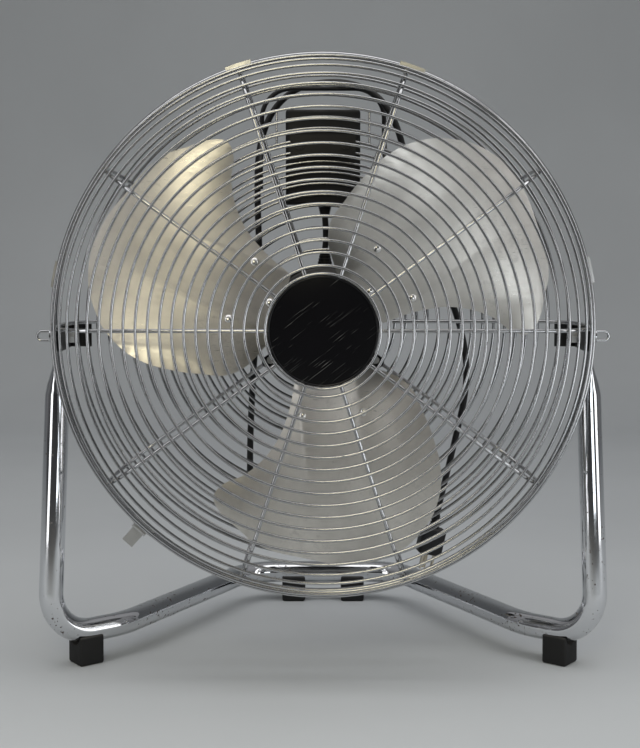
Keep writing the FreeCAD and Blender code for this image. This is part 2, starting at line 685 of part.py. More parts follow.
def build_switch_box():
    """Box, cover, switch, knob, guide wires, the strap that clamps the box to the rings, and screws."""
    span_z = (box_bottom, box_top)
    inner_z = (box_bottom + box_wall, box_top - box_wall)
    body = box_shell(box_half_width, (box_front_y, box_rear_y), span_z, box_round)
    hollow_y = (box_front_y + box_wall, box_rear_y)
    body = body.cut(box_shell(box_half_width - box_wall, hollow_y, inner_z, box_round - box_wall / 2))
    cover = box_shell(box_half_width, (box_rear_y, cover_rear_y), span_z, box_round)
    screw_places = []
    for side in (-1, 1):
        for z in (box_bottom + cover_screw_inset, box_top - cover_screw_inset):
            screw_places.append((side * (box_half_width - cover_screw_inset), z))
    screws = []
    for x, z in screw_places:
        post_y = box_front_y + box_wall
        post = cylinder_y(post_r, post_y, box_rear_y, x, z)
        hole_y = box_rear_y - cover_screw_depth
        hole_r = cover_screw_d / 2 + hole_fit
        body = body.fuse(post).cut(cylinder_y(hole_r, hole_y, box_rear_y, x, z))
        cover = cover.cut(cylinder_y(hole_r, box_rear_y, cover_rear_y, x, z))
        shank = cylinder_y(cover_screw_d / 2, hole_y, cover_rear_y, x, z)
        head_y = cover_rear_y + cover_screw_head_h
        screws.append(shank.fuse(cylinder_y(cover_screw_d, cover_rear_y, head_y, x, z)))
    spindle_hole = cylinder_y(spindle_d / 2 + running_fit, box_front_y, cover_rear_y, 0.0, box_middle_z)
    cover = cover.cut(spindle_hole)
    switch_z = (axis_height + box_middle_z - switch_size / 2, axis_height + box_middle_z + switch_size / 2)
    switch = block((-switch_size / 2, switch_size / 2), (box_rear_y - switch_depth, box_rear_y), switch_z)
    save("rotary_switch", switch.cut(spindle_hole))
    knob_low = cover_rear_y + knob_gap
    knob = cylinder_y(knob_r, knob_low, knob_low + knob_length * 0.3, 0.0, box_middle_z)
    grip_half = knob_r * 0.3
    middle = axis_height + box_middle_z
    grip_y = (knob_low, knob_low + knob_length)
    grip = block((-grip_half, grip_half), grip_y, (middle - knob_r, middle + knob_r))
    grip = grip.common(cylinder_y(knob_r, grip_y[0], grip_y[1], 0.0, box_middle_z))
    spindle = cylinder_y(spindle_d / 2, box_rear_y - switch_depth / 2, knob_low, 0.0, box_middle_z)
    save("speed_knob", knob.fuse([grip, spindle]))
    ring_low = first_face_ring_r + strap_lower_ring * ring_pitch
    ring_high = ring_low + ring_pitch
    strap_back = back_y + ring_lift - ring_d / 2 - seat_gap
    heights = [math.sqrt(radius ** 2 - strap_screw_x ** 2) for radius in (ring_low, ring_high)]
    screw_z = sum(heights) / 2
    strap_z = (screw_z - ring_pitch, screw_z + ring_pitch)
    strap = box_shell(strap_half_width, (strap_back - strap_wall, strap_back), strap_z, strap_round)
    strap_screws = []
    for x in (-strap_screw_x, strap_screw_x):
        hole_r = strap_screw_d / 2 + hole_fit
        hole = cylinder_y(hole_r, strap_back - strap_wall, box_front_y + box_wall, x, screw_z)
        strap = strap.cut(hole)
        body = body.cut(hole)
        head_y = strap_back - strap_wall
        shank = cylinder_y(strap_screw_d / 2, head_y, box_front_y + box_wall + strap_screw_d, x, screw_z)
        head = cylinder_y(strap_screw_d, head_y - strap_screw_head_h, head_y, x, screw_z)
        strap_screws.append(shank.fuse(head))
    save("switch_box", body)
    save("switch_box_cover", cover)
    save("cover_screws", Part.makeCompound(screws))
    guide_y = back_y + ring_lift + (ring_d + guide_d) / 2 + weld_gap
    guides = []
    for x in (-guide_x, guide_x):
        low = V(x, guide_y, axis_height + guide_low_z)
        guides.append(Part.makeCylinder(guide_d / 2, guide_high_z - guide_low_z, low))
    save("box_guide_wires", Part.makeCompound(guides))
    save("box_strap", strap)
    save("strap_screws", Part.makeCompound(strap_screws))


def build_leads():
    """Glands, the lead between box and motor, the cord with its plug, and the cord hanger."""
    box_floor = axis_height + box_bottom
    lead_top = V(lead_x, lead_y, box_floor - lead_gland_length)
    save("lead_gland", tube_between(gland_top_r, gland_end_r, V(lead_x, lead_y, box_floor), lead_top))
    lead_low = V(lead_x, lead_y, axis_height + motor_rear_r + motor_gland_length)
    gland = tube_between(
        motor_gland_r, gland_end_r, V(lead_x, lead_y, axis_height + motor_rear_r - motor_wall), lead_low
    )
    save("motor_gland", gland.cut(cylinder_y(motor_rear_r, plate_front_y, motor_rear_y)))
    save("motor_lead", tube_between(lead_d / 2, lead_d / 2, lead_low, lead_top))
    cord_top = V(cord_gland_x, cord_gland_y, box_floor)
    points = [V(x, y, axis_height + z) for x, y, z in cord_route]
    cord_end = cord_top - V(0, 0, cord_gland_length)
    save("cord_gland", tube_between(gland_top_r, gland_end_r, cord_top, cord_end))
    save("power_cord", cord_tube(points))
    build_plug(points[-2], points[-1])
    corners = [
        V(hanger_x, back_y + ring_lift + (ring_d + hanger_d) / 2 + weld_gap, hanger_foot_z),
        V(hanger_x, back_y + ring_lift + (ring_d + hanger_d) / 2 + weld_gap, hanger_low_bend_z),
        V(hanger_x, hanger_y, hanger_high_bend_z),
        V(hanger_x, hanger_y, hanger_top_z),
    ]
    corners += [V(-point.x, point.y, point.z) for point in reversed(corners)]
    radii = [hanger_bend_r, hanger_bend_r, hanger_corner_r, hanger_corner_r, hanger_bend_r, hanger_bend_r]
    hanger = swept_rod(rounded_path(corners, radii), hanger_d / 2)
    hanger.translate(V(0, 0, axis_height))
    save("cord_hanger", hanger)


def cord_tube(points):
    """The cord along its route, each arc as large as its two runs allow."""
    radii = []
    for before, corner, after in zip(points, points[1:], points[2:]):
        run_in = corner - before
        run_out = after - corner
        half_turn = run_in.getAngle(run_out) / 2
        radii.append(0.45 * min(run_in.Length, run_out.Length) / math.tan(half_turn))
    path = rounded_path(points, radii)
    tube = swept_rod(path, cord_d / 2)
    section = math.pi * cord_d ** 2 / 4
    print("cord length", round(path.Length, 1), "least radius", round(min(radii), 1))
    print("cord volume over section times length", round(tube.Volume / (section * path.Length), 5))
    print("cord radii", [round(radius) for radius in radii])
    print("cord runs", [round((b - a).Length) for a, b in zip(points, points[1:])])
    return tube


def build_plug(before, end):
    """A grounded plug in line with the end of the cord, drawn along +Z and then turned."""
    neck = Part.makeCone(cord_d / 2, plug_neck_r, plug_neck_length)
    low = plug_neck_length
    high = plug_neck_length + plug_length
    body = block((-plug_width / 2, plug_width / 2), (-plug_depth / 2, plug_depth / 2), (low, high))
    body = body.makeFillet(plug_round, body.Edges)
    half_space = prong_spacing / 2
    prongs = []
    for x in (-half_space, half_space):
        span = (x - prong_wall / 2, x + prong_wall / 2)
        middle = -ground_offset / 2
        width = (middle - prong_width / 2, middle + prong_width / 2)
        prongs.append(block(span, width, (high, high + prong_length)))
    prongs.append(Part.makeCylinder(ground_d / 2, prong_length, V(0, ground_offset, high)))
    turn = FreeCAD.Rotation(V(0, 0, 1), end - before)
    place = FreeCAD.Placement(end, turn)
    plug = neck.fuse(body)
    plug.Placement = place
    group = Part.makeCompound(prongs)
    group.Placement = place
    save("plug_body", plug)
    save("plug_prongs", group)


def tab_outline(x):
    """Section of the flattened tube end, as four edges in the tab's plane at height zero."""
    half = tab_half_width - tab_wall / 2
    wall = tab_wall / 2
    return [
        Part.LineSegment(V(x + wall, -half, 0), V(x + wall, half, 0)).toShape(),
        Part.Arc(V(x + wall, half, 0), V(x, tab_half_width, 0), V(x - wall, half, 0)).toShape(),
        Part.LineSegment(V(x - wall, half, 0), V(x - wall, -half, 0)).toShape(),
        Part.Arc(V(x - wall, -half, 0), V(x, -tab_half_width, 0), V(x + wall, -half, 0)).toShape(),
    ]


def round_outline(x):
    """A circle of the tube's size, in four arcs that match the tab's edges."""
    radius = tube_d / 2
    corner = radius * math.sqrt(0.5)
    return [
        Part.Arc(V(x + corner, -corner, 0), V(x + radius, 0, 0), V(x + corner, corner, 0)).toShape(),
        Part.Arc(V(x + corner, corner, 0), V(x, radius, 0), V(x - corner, corner, 0)).toShape(),
        Part.Arc(V(x - corner, corner, 0), V(x - radius, 0, 0), V(x - corner, -corner, 0)).toShape(),
        Part.Arc(V(x - corner, -corner, 0), V(x, -radius, 0), V(x + corner, -corner, 0)).toShape(),
    ]


def placed_wire(edges, z):
    """A closed outline moved up to a height."""
    wire = Part.Wire(edges)
    wire.translate(V(0, 0, z))
    return wire


def stand_path():
    """Middle line of the bent tube, from one pressed end to the other."""
    right = [neck, base_corner, elbow, V(rear_bar_half, base_depth, base_z)]
    points = right + [V(-point.x, point.y, point.z) for point in reversed(right)]
    radii = [upright_bend_r, elbow_bend_r, rear_bend_r]
    return rounded_path(points, radii + radii[::-1])


def pressed_end():
    """The end of the right upright, pressed flat and drilled for the pivot."""
    flat_z = pivot_z - tab_below
    tube_end = Part.Wire(round_outline(0.0))
    tube_end.Placement = FreeCAD.Placement(neck, FreeCAD.Rotation(V(0, 0, 1), neck - base_corner))
    taper = Part.makeLoft([tube_end, placed_wire(tab_outline(tab_x), flat_z)], True, True)
    height = tab_below + tab_above
    tab = Part.Face(placed_wire(tab_outline(tab_x), flat_z)).extrude(V(0, 0, height))
    crown_z = pivot_z + tab_above - tab_half_width
    keep = cylinder_x(tab_half_width, tab_in, tab_out, 0.0, crown_z)
    keep = keep.fuse(block((tab_in, tab_out), (-tab_half_width, tab_half_width), (flat_z, crown_z)))
    tab = tab.common(keep)
    hole = cylinder_x(screw_d / 2 + screw_fit, tab_in - 1, tab_out + 1, 0.0, pivot_z)
    return taper, tab.cut(hole)


def foot_places():
    """Middle and direction of the tube over each foot."""
    along = (elbow - base_corner).normalize()
    front = base_corner + along * front_foot_along
    rear = V(rear_foot_x, base_depth, base_z)
    places = {"front_feet": [(front, along)], "rear_feet": [(rear, V(1, 0, 0))]}
    for group in places.values():
        place, direction = group[0]
        group.append((V(-place.x, place.y, place.z), V(-direction.x, direction.y, direction.z)))
    return places


def foot_solid(place, direction):
    """A rubber block with a saddle for the tube and a recess for its screw."""
    solid = block(
        (-foot_length / 2, foot_length / 2), (-foot_width / 2, foot_width / 2), (0.0, foot_height)
    )
    upright = [edge for edge in solid.Edges if abs(edge.BoundBox.ZLength - foot_height) < 1e-4]
    solid = solid.makeFillet(foot_round, upright)
    saddle_r = tube_d / 2 + saddle_gap
    solid = solid.cut(cylinder_x(saddle_r, -foot_length, foot_length, 0.0, base_z))
    solid = solid.cut(Part.makeCylinder(foot_screw_head_d / 2 + hole_fit, foot_recess))
    solid = solid.cut(Part.makeCylinder(foot_screw_d / 2 + hole_fit, base_z))
    solid.rotate(V(0, 0, 0), V(0, 0, 1), math.degrees(math.atan2(direction.y, direction.x)))
    solid.translate(V(place.x, place.y, 0))
    return solid


def foot_screw(place):
    """A screw from the recess up through the bottom of the tube."""
    head_low = V(place.x, place.y, foot_recess - foot_screw_head_h)
    head = Part.makeCylinder(foot_screw_head_d / 2, foot_screw_head_h, head_low)
    top = base_z - tube_d / 2 + tube_wall + foot_screw_d
    seat = V(place.x, place.y, foot_recess)
    return head.fuse(Part.makeCylinder(foot_screw_d / 2, top - foot_recess, seat))


def build_stand():
    """The bent tube, its rubber feet and their screws."""
    path = stand_path()
    tube = swept_rod(path, tube_d / 2)
    core = swept_rod(path, tube_d / 2 - tube_wall)
    tube = tube.cut(core)
    for end in pressed_end():
        tube = tube.fuse([end, mirrored(end)])
    screws = []
    for node, group in foot_places().items():
        save(node, Part.makeCompound([foot_solid(place, direction) for place, direction in group]))
        for place, direction in group:
            screws.append(foot_screw(place))
            hole_r = foot_screw_d / 2 + hole_fit
            low = V(place.x, place.y, base_z - tube_d)
            tube = tube.cut(Part.makeCylinder(hole_r, tube_d, low))
    save("foot_screws", Part.makeCompound(screws))
    save("stand_tube", tube)
    print("stand solids", len(tube.Solids), "valid", tube.isValid(), "volume", round(tube.Volume))


def build_pivots():
    """Brackets on the cage, washers, nuts and the wire-loop screws."""
    low = pivot_z - bracket_half_height
    high = pivot_z + bracket_half_height
    lip_y = shoulder_ring_places(bracket_lip_ring, back_y - shoulder_r, 1)[-1][1]
    lip_low = lip_y + ring_d / 2 + seat_gap
    lip_high = lip_low + bracket_wall
    plate = block((bracket_in, bracket_out), (-rim_forward, lip_high), (low, high))
    lip = block((bracket_in - bracket_lip, bracket_in), (lip_low, lip_high), (low, high))
    hole_r = screw_d / 2 + screw_fit
    bracket = plate.fuse(lip).cut(cylinder_x(hole_r, bracket_in, bracket_out, 0.0, pivot_z))
    washer = cylinder_x(washer_r, washer_in, washer_in + washer_wall, 0.0, pivot_z)
    washer = washer.cut(cylinder_x(hole_r, washer_in, washer_in + washer_wall, 0.0, pivot_z))
    nut_in = bracket_in - nut_length
    corner_r = nut_flats / math.sqrt(3.0)
    corners = []
    for step in range(7):
        angle = math.radians(60.0 * step)
        corners.append(V(nut_in, corner_r * math.cos(angle), pivot_z + corner_r * math.sin(angle)))
    nut = Part.Face(Part.makePolygon(corners)).extrude(V(nut_length, 0, 0))
    nut = nut.cut(cylinder_x(hole_r, nut_in, bracket_in, 0.0, pivot_z))
    shank = cylinder_x(screw_d / 2, nut_in, collar_in, 0.0, pivot_z)
    collar = cylinder_x(collar_r, collar_in, collar_out, 0.0, pivot_z)
    loop_start = collar_out - loop_wire_d
    bend_x = collar_out + loop_reach - loop_half_height - loop_wire_d / 2
    loop_top = pivot_z + loop_half_height
    loop_low = pivot_z - loop_half_height
    bend = V(bend_x + loop_half_height, 0, pivot_z)
    legs = [
        Part.LineSegment(V(loop_start, 0, loop_top), V(bend_x, 0, loop_top)),
        Part.Arc(V(bend_x, 0, loop_top), bend, V(bend_x, 0, loop_low)),
        Part.LineSegment(V(bend_x, 0, loop_low), V(loop_start, 0, loop_low)),
    ]
    loop = swept_rod(Part.Wire([leg.toShape() for leg in legs]), loop_wire_d / 2)
    screw = shank.fuse([collar, loop])
    save("right_pivot_bracket", bracket)
    save("left_pivot_bracket", mirrored(bracket))
    save("tilt_washers", Part.makeCompound([washer, mirrored(washer)]))
    save("pivot_nuts", Part.makeCompound([nut, mirrored(nut)]))
    save("right_tilt_screw", screw)
    save("left_tilt_screw", mirrored(screw))
    print("pivot", V(tab_x, frame_y, pivot_z))


def build_cage():
    """Both halves of the wire cage and the clips on its rim."""
    badge_rings = (badge_ring_r, badge_ring_r + badge_ring_step)
    save("front_guard_rings", guard_rings(-1, badge_rings, 0, front_shoulder_rings))
    save("front_guard_spokes", guard_spokes(-1, front_spoke_inner_r))
    save("rear_guard_rings", guard_rings(1, (), rear_rings_left_out, rear_shoulder_rings))
    save("rear_guard_spokes", guard_spokes(1, rear_spoke_inner_r))
    save("rim_clips", Part.makeCompound([rim_clip(angle) for angle in clip_angles]))


os.makedirs("parts", exist_ok=True)
build_cage()
build_latch()
build_badge()
build_rotor()
build_motor()
build_switch_box()
build_leads()
build_stand()
build_pivots()
print("frame_y", round(frame_y, 3), "fan axis", axis_height, "knob height", axis_height + box_middle_z)
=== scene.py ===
"""A chrome floor fan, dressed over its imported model: cage, stand, blades, motor, switch box and cord."""

import json
import logging
import math
from dataclasses import dataclass
from enum import Enum
from functools import cache
from typing import ClassVar, Sequence

import bpy
from mathutils import Matrix, Vector

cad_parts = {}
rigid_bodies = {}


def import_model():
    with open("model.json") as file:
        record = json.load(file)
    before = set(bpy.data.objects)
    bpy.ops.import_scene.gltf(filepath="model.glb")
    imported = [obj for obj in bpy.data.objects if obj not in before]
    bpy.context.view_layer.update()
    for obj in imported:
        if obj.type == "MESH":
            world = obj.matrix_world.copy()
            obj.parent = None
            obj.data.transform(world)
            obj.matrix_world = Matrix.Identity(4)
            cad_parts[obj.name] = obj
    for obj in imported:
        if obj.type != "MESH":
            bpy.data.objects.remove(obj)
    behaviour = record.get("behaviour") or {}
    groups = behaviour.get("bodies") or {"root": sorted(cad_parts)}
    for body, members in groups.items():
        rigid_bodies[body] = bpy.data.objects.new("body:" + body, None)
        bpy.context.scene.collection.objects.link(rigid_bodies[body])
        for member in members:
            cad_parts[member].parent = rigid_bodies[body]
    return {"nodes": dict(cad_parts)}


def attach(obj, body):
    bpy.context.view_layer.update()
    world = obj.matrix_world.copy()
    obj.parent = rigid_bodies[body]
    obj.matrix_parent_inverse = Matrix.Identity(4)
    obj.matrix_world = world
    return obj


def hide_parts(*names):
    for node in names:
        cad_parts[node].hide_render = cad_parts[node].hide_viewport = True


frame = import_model()

LOG = logging.getLogger("floor_fan")
Point = tuple[float, float, float]
Pair = tuple[float, float]
Piece = bpy.types.Object
Socket = bpy.types.NodeSocket
Node = bpy.types.Node
Tree = bpy.types.NodeTree
PIVOT_Y = -0.07254
AXIS_Z = 0.360
FAN_AXIS = Vector((0.0, 0.0, AXIS_Z))
ORIGIN = Vector((0.0, 0.0, 0.0))
RIGHT = Vector((1.0, 0.0, 0.0))
FRONT = Vector((0.0, -1.0, 0.0))
BACK = Vector((0.0, 1.0, 0.0))
UP = Vector((0.0, 0.0, 1.0))
DOWN = Vector((0.0, 0.0, -1.0))
FULL_TURN = 2.0 * math.pi


class Body(Enum):
    """The bodies that move by themselves."""

    STAND = "stand"
    HEAD = "head"
    ROTOR = "rotor"
    KNOB = "knob"


class Half(Enum):
    """The two halves of the wire cage, with the way along Y that each bulges."""

    FRONT = -1
    REAR = 1


def at(x: float, y: float, z: float) -> Vector:
    """A point from X, Y behind the tilt axis and height above the fan axis, in metres."""
    return Vector((x, PIVOT_Y + y, AXIS_Z + z))


def mirrored(points: Sequence[Vector]) -> tuple[Vector, ...]:
    """Points on the right, then their mirror images on the left in reverse."""
    return (*points, *(Vector((-point.x, point.y, point.z)) for point in reversed(points)))


def arc(centre: Pair, radius: float, start: float, end: float, steps: int = 8) -> list[Pair]:
    """Points of an arc in a profile.

    Args:
        centre: Middle of the arc, as radius from the axis and distance along it.
        radius: Size of the arc.
        start: First angle, in degrees.
        end: Last angle, in degrees.
        steps: Number of segments.

    Returns:
        The points, both ends included.
    """
    points = []
    for step in range(steps + 1):
        angle = math.radians(start + (end - start) * step / steps)
        points.append((centre[0] + radius * math.cos(angle), centre[1] + radius * math.sin(angle)))
    return points


class Bench:
    """Edit-mode work on one piece at a time."""

    seed: ClassVar[float] = 0.0005
    weld: ClassVar[float] = 1e-6

    @staticmethod
    def named(name: str) -> Piece:
        """Name the piece that was just added.

        Args:
            name: Name of the piece and of its mesh.

        Returns:
            The piece.
        """
        piece = bpy.context.active_object
        piece.name = name
        piece.data.name = name
        return piece

    @staticmethod
    def edit() -> None:
        """Enter edit mode with everything selected."""
        bpy.ops.object.mode_set(mode="EDIT")
        bpy.ops.mesh.select_all(action="SELECT")

    @staticmethod
    def open(name: str) -> Piece:
        """Start an empty piece and stay in its edit mode.

        Args:
            name: Name of the piece.

        Returns:
            The new object.
        """
        bpy.ops.object.select_all(action="DESELECT")
        bpy.ops.mesh.primitive_plane_add(size=Bench.seed)
        piece = Bench.named(name)
        Bench.edit()
        bpy.ops.mesh.delete(type="VERT")
        return piece

    @staticmethod
    def hoop(radius: float, place: Vector, heading: Vector, sides: int) -> None:
        """Add a circle of edges square to a heading, and leave only it selected.

        Args:
            radius: Radius of the circle.
            place: Its middle.
            heading: Its normal.
            sides: Number of vertices.
        """
        turn = UP.rotation_difference(heading).to_euler()
        bpy.ops.mesh.select_all(action="DESELECT")
        bpy.ops.mesh.primitive_circle_add(vertices=sides, radius=radius, location=place, rotation=turn)

    @staticmethod
    def line(points: Sequence[Vector]) -> None:
        """Draw a chain of edges through points, and leave it selected.

        Args:
            points: The corners in order.
        """
        bpy.ops.mesh.select_all(action="DESELECT")
        bpy.ops.mesh.primitive_plane_add(size=Bench.seed, location=points[0])
        bpy.ops.mesh.merge(type="CENTER")
        for before, after in zip(points, points[1:]):
            Bench.run(after - before)
        bpy.ops.mesh.select_linked()

    @staticmethod
    def run(step: Vector) -> None:
        """Extrude what is selected by a straight step."""
        bpy.ops.mesh.extrude_region_move(TRANSFORM_OT_translate={"value": step})

    @staticmethod
    def turn(centre: Vector, axis: Vector, angle: float, steps: int) -> None:
        """Extrude what is selected round an axis. The spin operator counts its angle the other way.

        Args:
            centre: A point on the axis.
            axis: Direction of the axis.
            angle: Turn in radians, by the right-hand rule.
            steps: Number of segments.
        """
        bpy.ops.mesh.spin(steps=steps, angle=-angle, center=centre, axis=axis)

    @staticmethod
    def close(piece: Piece, smooth: float = 40.0) -> Piece:
        """Weld seams, cap open ends, turn the faces outwards and leave edit mode.

        Args:
            piece: The piece in edit mode.
            smooth: Edges blunter than this many degrees are shaded smooth.

        Returns:
            The same piece.
        """
        bpy.ops.mesh.select_all(action="SELECT")
        bpy.ops.mesh.remove_doubles(threshold=Bench.weld)
        bpy.ops.mesh.fill_holes(sides=0)
        bpy.ops.mesh.select_all(action="SELECT")
        bpy.ops.mesh.normals_make_consistent(inside=False)
        bpy.ops.object.mode_set(mode="OBJECT")
        return Bench.shade(piece, smooth)

    @staticmethod
    def pick(*pieces: Piece) -> None:
        """Select only these pieces, the first of them active.

        Args:
            pieces: The pieces.
        """
        bpy.ops.object.select_all(action="DESELECT")
        for piece in pieces:
            piece.select_set(True)
        bpy.context.view_layer.objects.active = pieces[0]

    @staticmethod
    def shade(piece: Piece, smooth: float) -> Piece:
        """Shade a piece smooth across its blunt edges.

        Args:
            piece: The piece.
            smooth: Edges blunter than this many degrees are shaded smooth.

        Returns:
            The same piece.
        """
        Bench.pick(piece)
        bpy.ops.object.shade_smooth_by_angle(angle=math.radians(smooth))
        return piece

    @staticmethod
    def settle(piece: Piece) -> Piece:
        """Keep a piece's place, turn and scale in its mesh.

        Args:
            piece: The piece.

        Returns:
            The same piece.
        """
        Bench.pick(piece)
        bpy.ops.object.transform_apply(location=True, rotation=True, scale=True)
        return piece

    @staticmethod
    def place(piece: Piece, where: Vector, heading: Vector) -> Piece:
        """Turn a piece drawn along +Z to a heading, move it, and keep the place in its mesh.

        Args:
            piece: The piece, at the origin.
            where: Where its origin goes.
            heading: Where its +Z points.

        Returns:
            The same piece.
        """
        turn = UP.rotation_difference(heading).to_matrix().to_4x4()
        piece.matrix_world = Matrix.Translation(where) @ turn
        return Bench.settle(piece)

    @staticmethod
    def round(piece: Piece, angle: float) -> Piece:
        """Turn a piece about the fan axis, anticlockwise as seen from the front.

        Args:
            piece: The piece, drawn along +X.
            angle: The turn in degrees.

        Returns:
            The same piece, with the turn kept in its mesh.
        """
        turn = Matrix.Rotation(math.radians(-angle), 4, "Y")
        piece.matrix_world = Matrix.Translation(FAN_AXIS) @ turn @ Matrix.Translation(-FAN_AXIS)
        return Bench.settle(piece)

    @staticmethod
    def lathe(name: str, profile: Sequence[Pair], steps: int, where: Vector, heading: Vector,
              smooth: float = 32.0) -> Piece:
        """Spin a profile into a round piece.

        Args:
            name: Name of the piece.
            profile: Radius and distance along the axis of each corner.
            steps: Segments round the axis.
            where: Foot of the axis.
            heading: Direction of the axis.
            smooth: Angle for smooth shading, in degrees.

        Returns:
            The finished piece.
        """
        piece = Bench.open(name)
        Bench.line([Vector((radius, 0.0, along)) for radius, along in profile])
        Bench.turn(ORIGIN, UP, FULL_TURN, steps)
        Bench.close(piece, smooth)
        return Bench.place(piece, where, heading)

    @staticmethod
    def cube(name: str, low: Vector, high: Vector) -> Piece:
        """A box with sharp edges.

        Args:
            name: Name of the piece.
            low: Lowest corner.
            high: Highest corner.

        Returns:
            The box.
        """
        bpy.ops.object.select_all(action="DESELECT")
        bpy.ops.mesh.primitive_cube_add(size=1.0, location=(low + high) / 2.0, scale=high - low)
        return Bench.settle(Bench.named(name))

    @staticmethod
    def block(name: str, low: Vector, high: Vector, edge: float, segments: int = 4) -> Piece:
        """A box with rounded edges.

        Args:
            name: Name of the piece.
            low: Lowest corner.
            high: Highest corner.
            edge: Radius of its edges.
            segments: Segments of each edge.

        Returns:
            The finished piece.
        """
        piece = Bench.cube(name, low, high)
        Bench.edit()
        bpy.ops.mesh.bevel(offset=edge, segments=segments, affect="EDGES")
        return Bench.close(piece, 35.0)

    @staticmethod
    def apply(piece: Piece, kind: str, **settings: object) -> None:
        """Add a modifier and apply it.

        Args:
            piece: The piece.
            kind: Type of the modifier.
            settings: Its settings.
        """
        Bench.pick(piece)
        modifier = piece.modifiers.new(kind.lower(), kind)
        for key, value in settings.items():
            setattr(modifier, key, value)
        bpy.ops.object.modifier_apply(modifier=modifier.name)

    @staticmethod
    def cut(piece: Piece, operation: str, tool: Piece) -> None:
        """Cut a piece with a tool, which is used up."""
        Bench.apply(piece, "BOOLEAN", operation=operation, object=tool, solver="EXACT")
        bpy.data.objects.remove(tool)

    @staticmethod
    def join(first: Piece, *others: Piece) -> Piece:
        """Join pieces into the first one.

        Args:
            first: The piece that stays.
            others: The pieces that it takes in.

        Returns:
            The first piece.
        """
        Bench.pick(first, *others)
        bpy.ops.object.join()
        return first


@dataclass(frozen=True)
class BentRod:
    """A round bar bent at its corners, drawn as a bender makes it: straight runs and turns."""

    points: tuple[Vector, ...]
    bends: tuple[float, ...]
    radius: float
    sides: int
    steps: int

    def draw(self) -> None:
        """Draw the bar in the piece that is open, and leave its far end selected."""
        here = self.points[0]
        heading = (self.points[1] - here).normalized()
        Bench.hoop(self.radius, here, heading, self.sides)
        for corner, after, bend in zip(self.points[1:], self.points[2:], self.bends):
            onward = (after - corner).normalized()
            turn = heading.angle(onward)
            trim = bend * math.tan(turn / 2.0)
            start = corner - heading * trim
            Bench.run(start - here)
            axis = heading.cross(onward).normalized()
            Bench.turn(start + axis.cross(heading) * bend, axis, turn, self.steps)
            here = corner + onward * trim
            heading = onward
        Bench.run(self.points[-1] - here)

    def make(self, name: str) -> Piece:
        """The bar as a piece of its own.

        Args:
            name: Name of the piece.

        Returns:
            The piece.
        """
        piece = Bench.open(name)
        self.draw()
        return Bench.close(piece, 50.0)


class Nodes:
    """Short ways to add and join shader nodes in one tree."""

    def __init__(self, tree: Tree) -> None:
        """Work in this tree."""
        self.tree = tree

    def add(self, kind: str, **settings: object) -> Node:
        """Add a node and set its options.

        Args:
            kind: Type of the node.
            settings: Its options.

        Returns:
            The node.
        """
        node = self.tree.nodes.new(kind)
        for key, value in settings.items():
            setattr(node, key, value)
        return node

    def feed(self, target: Socket, value: object) -> None:
        """Give an input a plain value or another node's output.

        Args:
            target: The input.
            value: A socket, a number or a row of numbers.
        """
        if isinstance(value, Socket):
            self.tree.links.new(value, target)
        else:
            target.default_value = value

    def take(self, kind: str, output: str | int, inputs: dict[str | int, object], **settings: object) -> Socket:
        """Add a node, feed its inputs and take one output.

        Args:
            kind: Type of the node.
            output: The output to take.
            inputs: What goes into each input.
            settings: The node's options.

        Returns:
            The output's socket.
        """
        node = self.add(kind, **settings)
        for key, value in inputs.items():
            self.feed(node.inputs[key], value)
        return node.outputs[output]

    def coords(self) -> Socket:
        """Coordinates in the piece's own frame."""
        return self.add("ShaderNodeTexCoord").outputs["Object"]

    def axis(self, vector: Socket, name: str) -> Socket:
        """One axis of a vector."""
        return self.take("ShaderNodeSeparateXYZ", name, {0: vector})

    def noise(self, coords: Socket, scale: object, detail: float, rough: float = 0.5) -> Socket:
        """A noise value of some scale, octaves and weight of the finer octaves."""
        inputs = {"Vector": coords, "Scale": scale, "Detail": detail, "Roughness": rough}
        return self.take("ShaderNodeTexNoise", "Fac", inputs)

    def stretch(self, coords: Socket, scale: Point, tilt: float = 0.0) -> Socket:
        """Coordinates turned about Y, then scaled along each axis.

        Args:
            coords: The coordinates.
            scale: Scale along each axis.
            tilt: The turn in degrees.

        Returns:
            The new coordinates' socket.
        """
        turn = {"Vector": coords, "Rotation": (0.0, math.radians(tilt), 0.0)}
        turned = self.take("ShaderNodeMapping", "Vector", turn)
        return self.take("ShaderNodeMapping", "Vector", {"Vector": turned, "Scale": scale})

    def ranged(self, value: Socket, low: float, high: float, to_low: float = 0.0,
               to_high: float = 1.0) -> Socket:
        """A value carried from one range to another, and held inside it."""
        ends = {"From Min": low, "From Max": high, "To Min": to_low, "To Max": to_high}
        return self.take("ShaderNodeMapRange", "Result", {"Value": value, **ends})

    def sum(self, operation: str, first: Socket, second: object) -> Socket:
        """A sum of two values, the second a socket or a number."""
        return self.take("ShaderNodeMath", 0, {0: first, 1: second}, operation=operation)

    def mix(self, factor: Socket, first: object, second: object) -> Socket:
        """A colour between two, each a socket or a colour."""
        low, high = ((*tint, 1.0) if isinstance(tint, tuple) else tint for tint in (first, second))
        return self.take("ShaderNodeMix", 2, {0: factor, 6: low, 7: high}, data_type="RGBA")

    def bump(self, height: Socket, strength: float, depth: float) -> Socket:
        """A normal from a height, with a strength and a depth in metres."""
        inputs = {"Height": height, "Strength": strength, "Distance": depth}
        return self.take("ShaderNodeBump", "Normal", inputs)


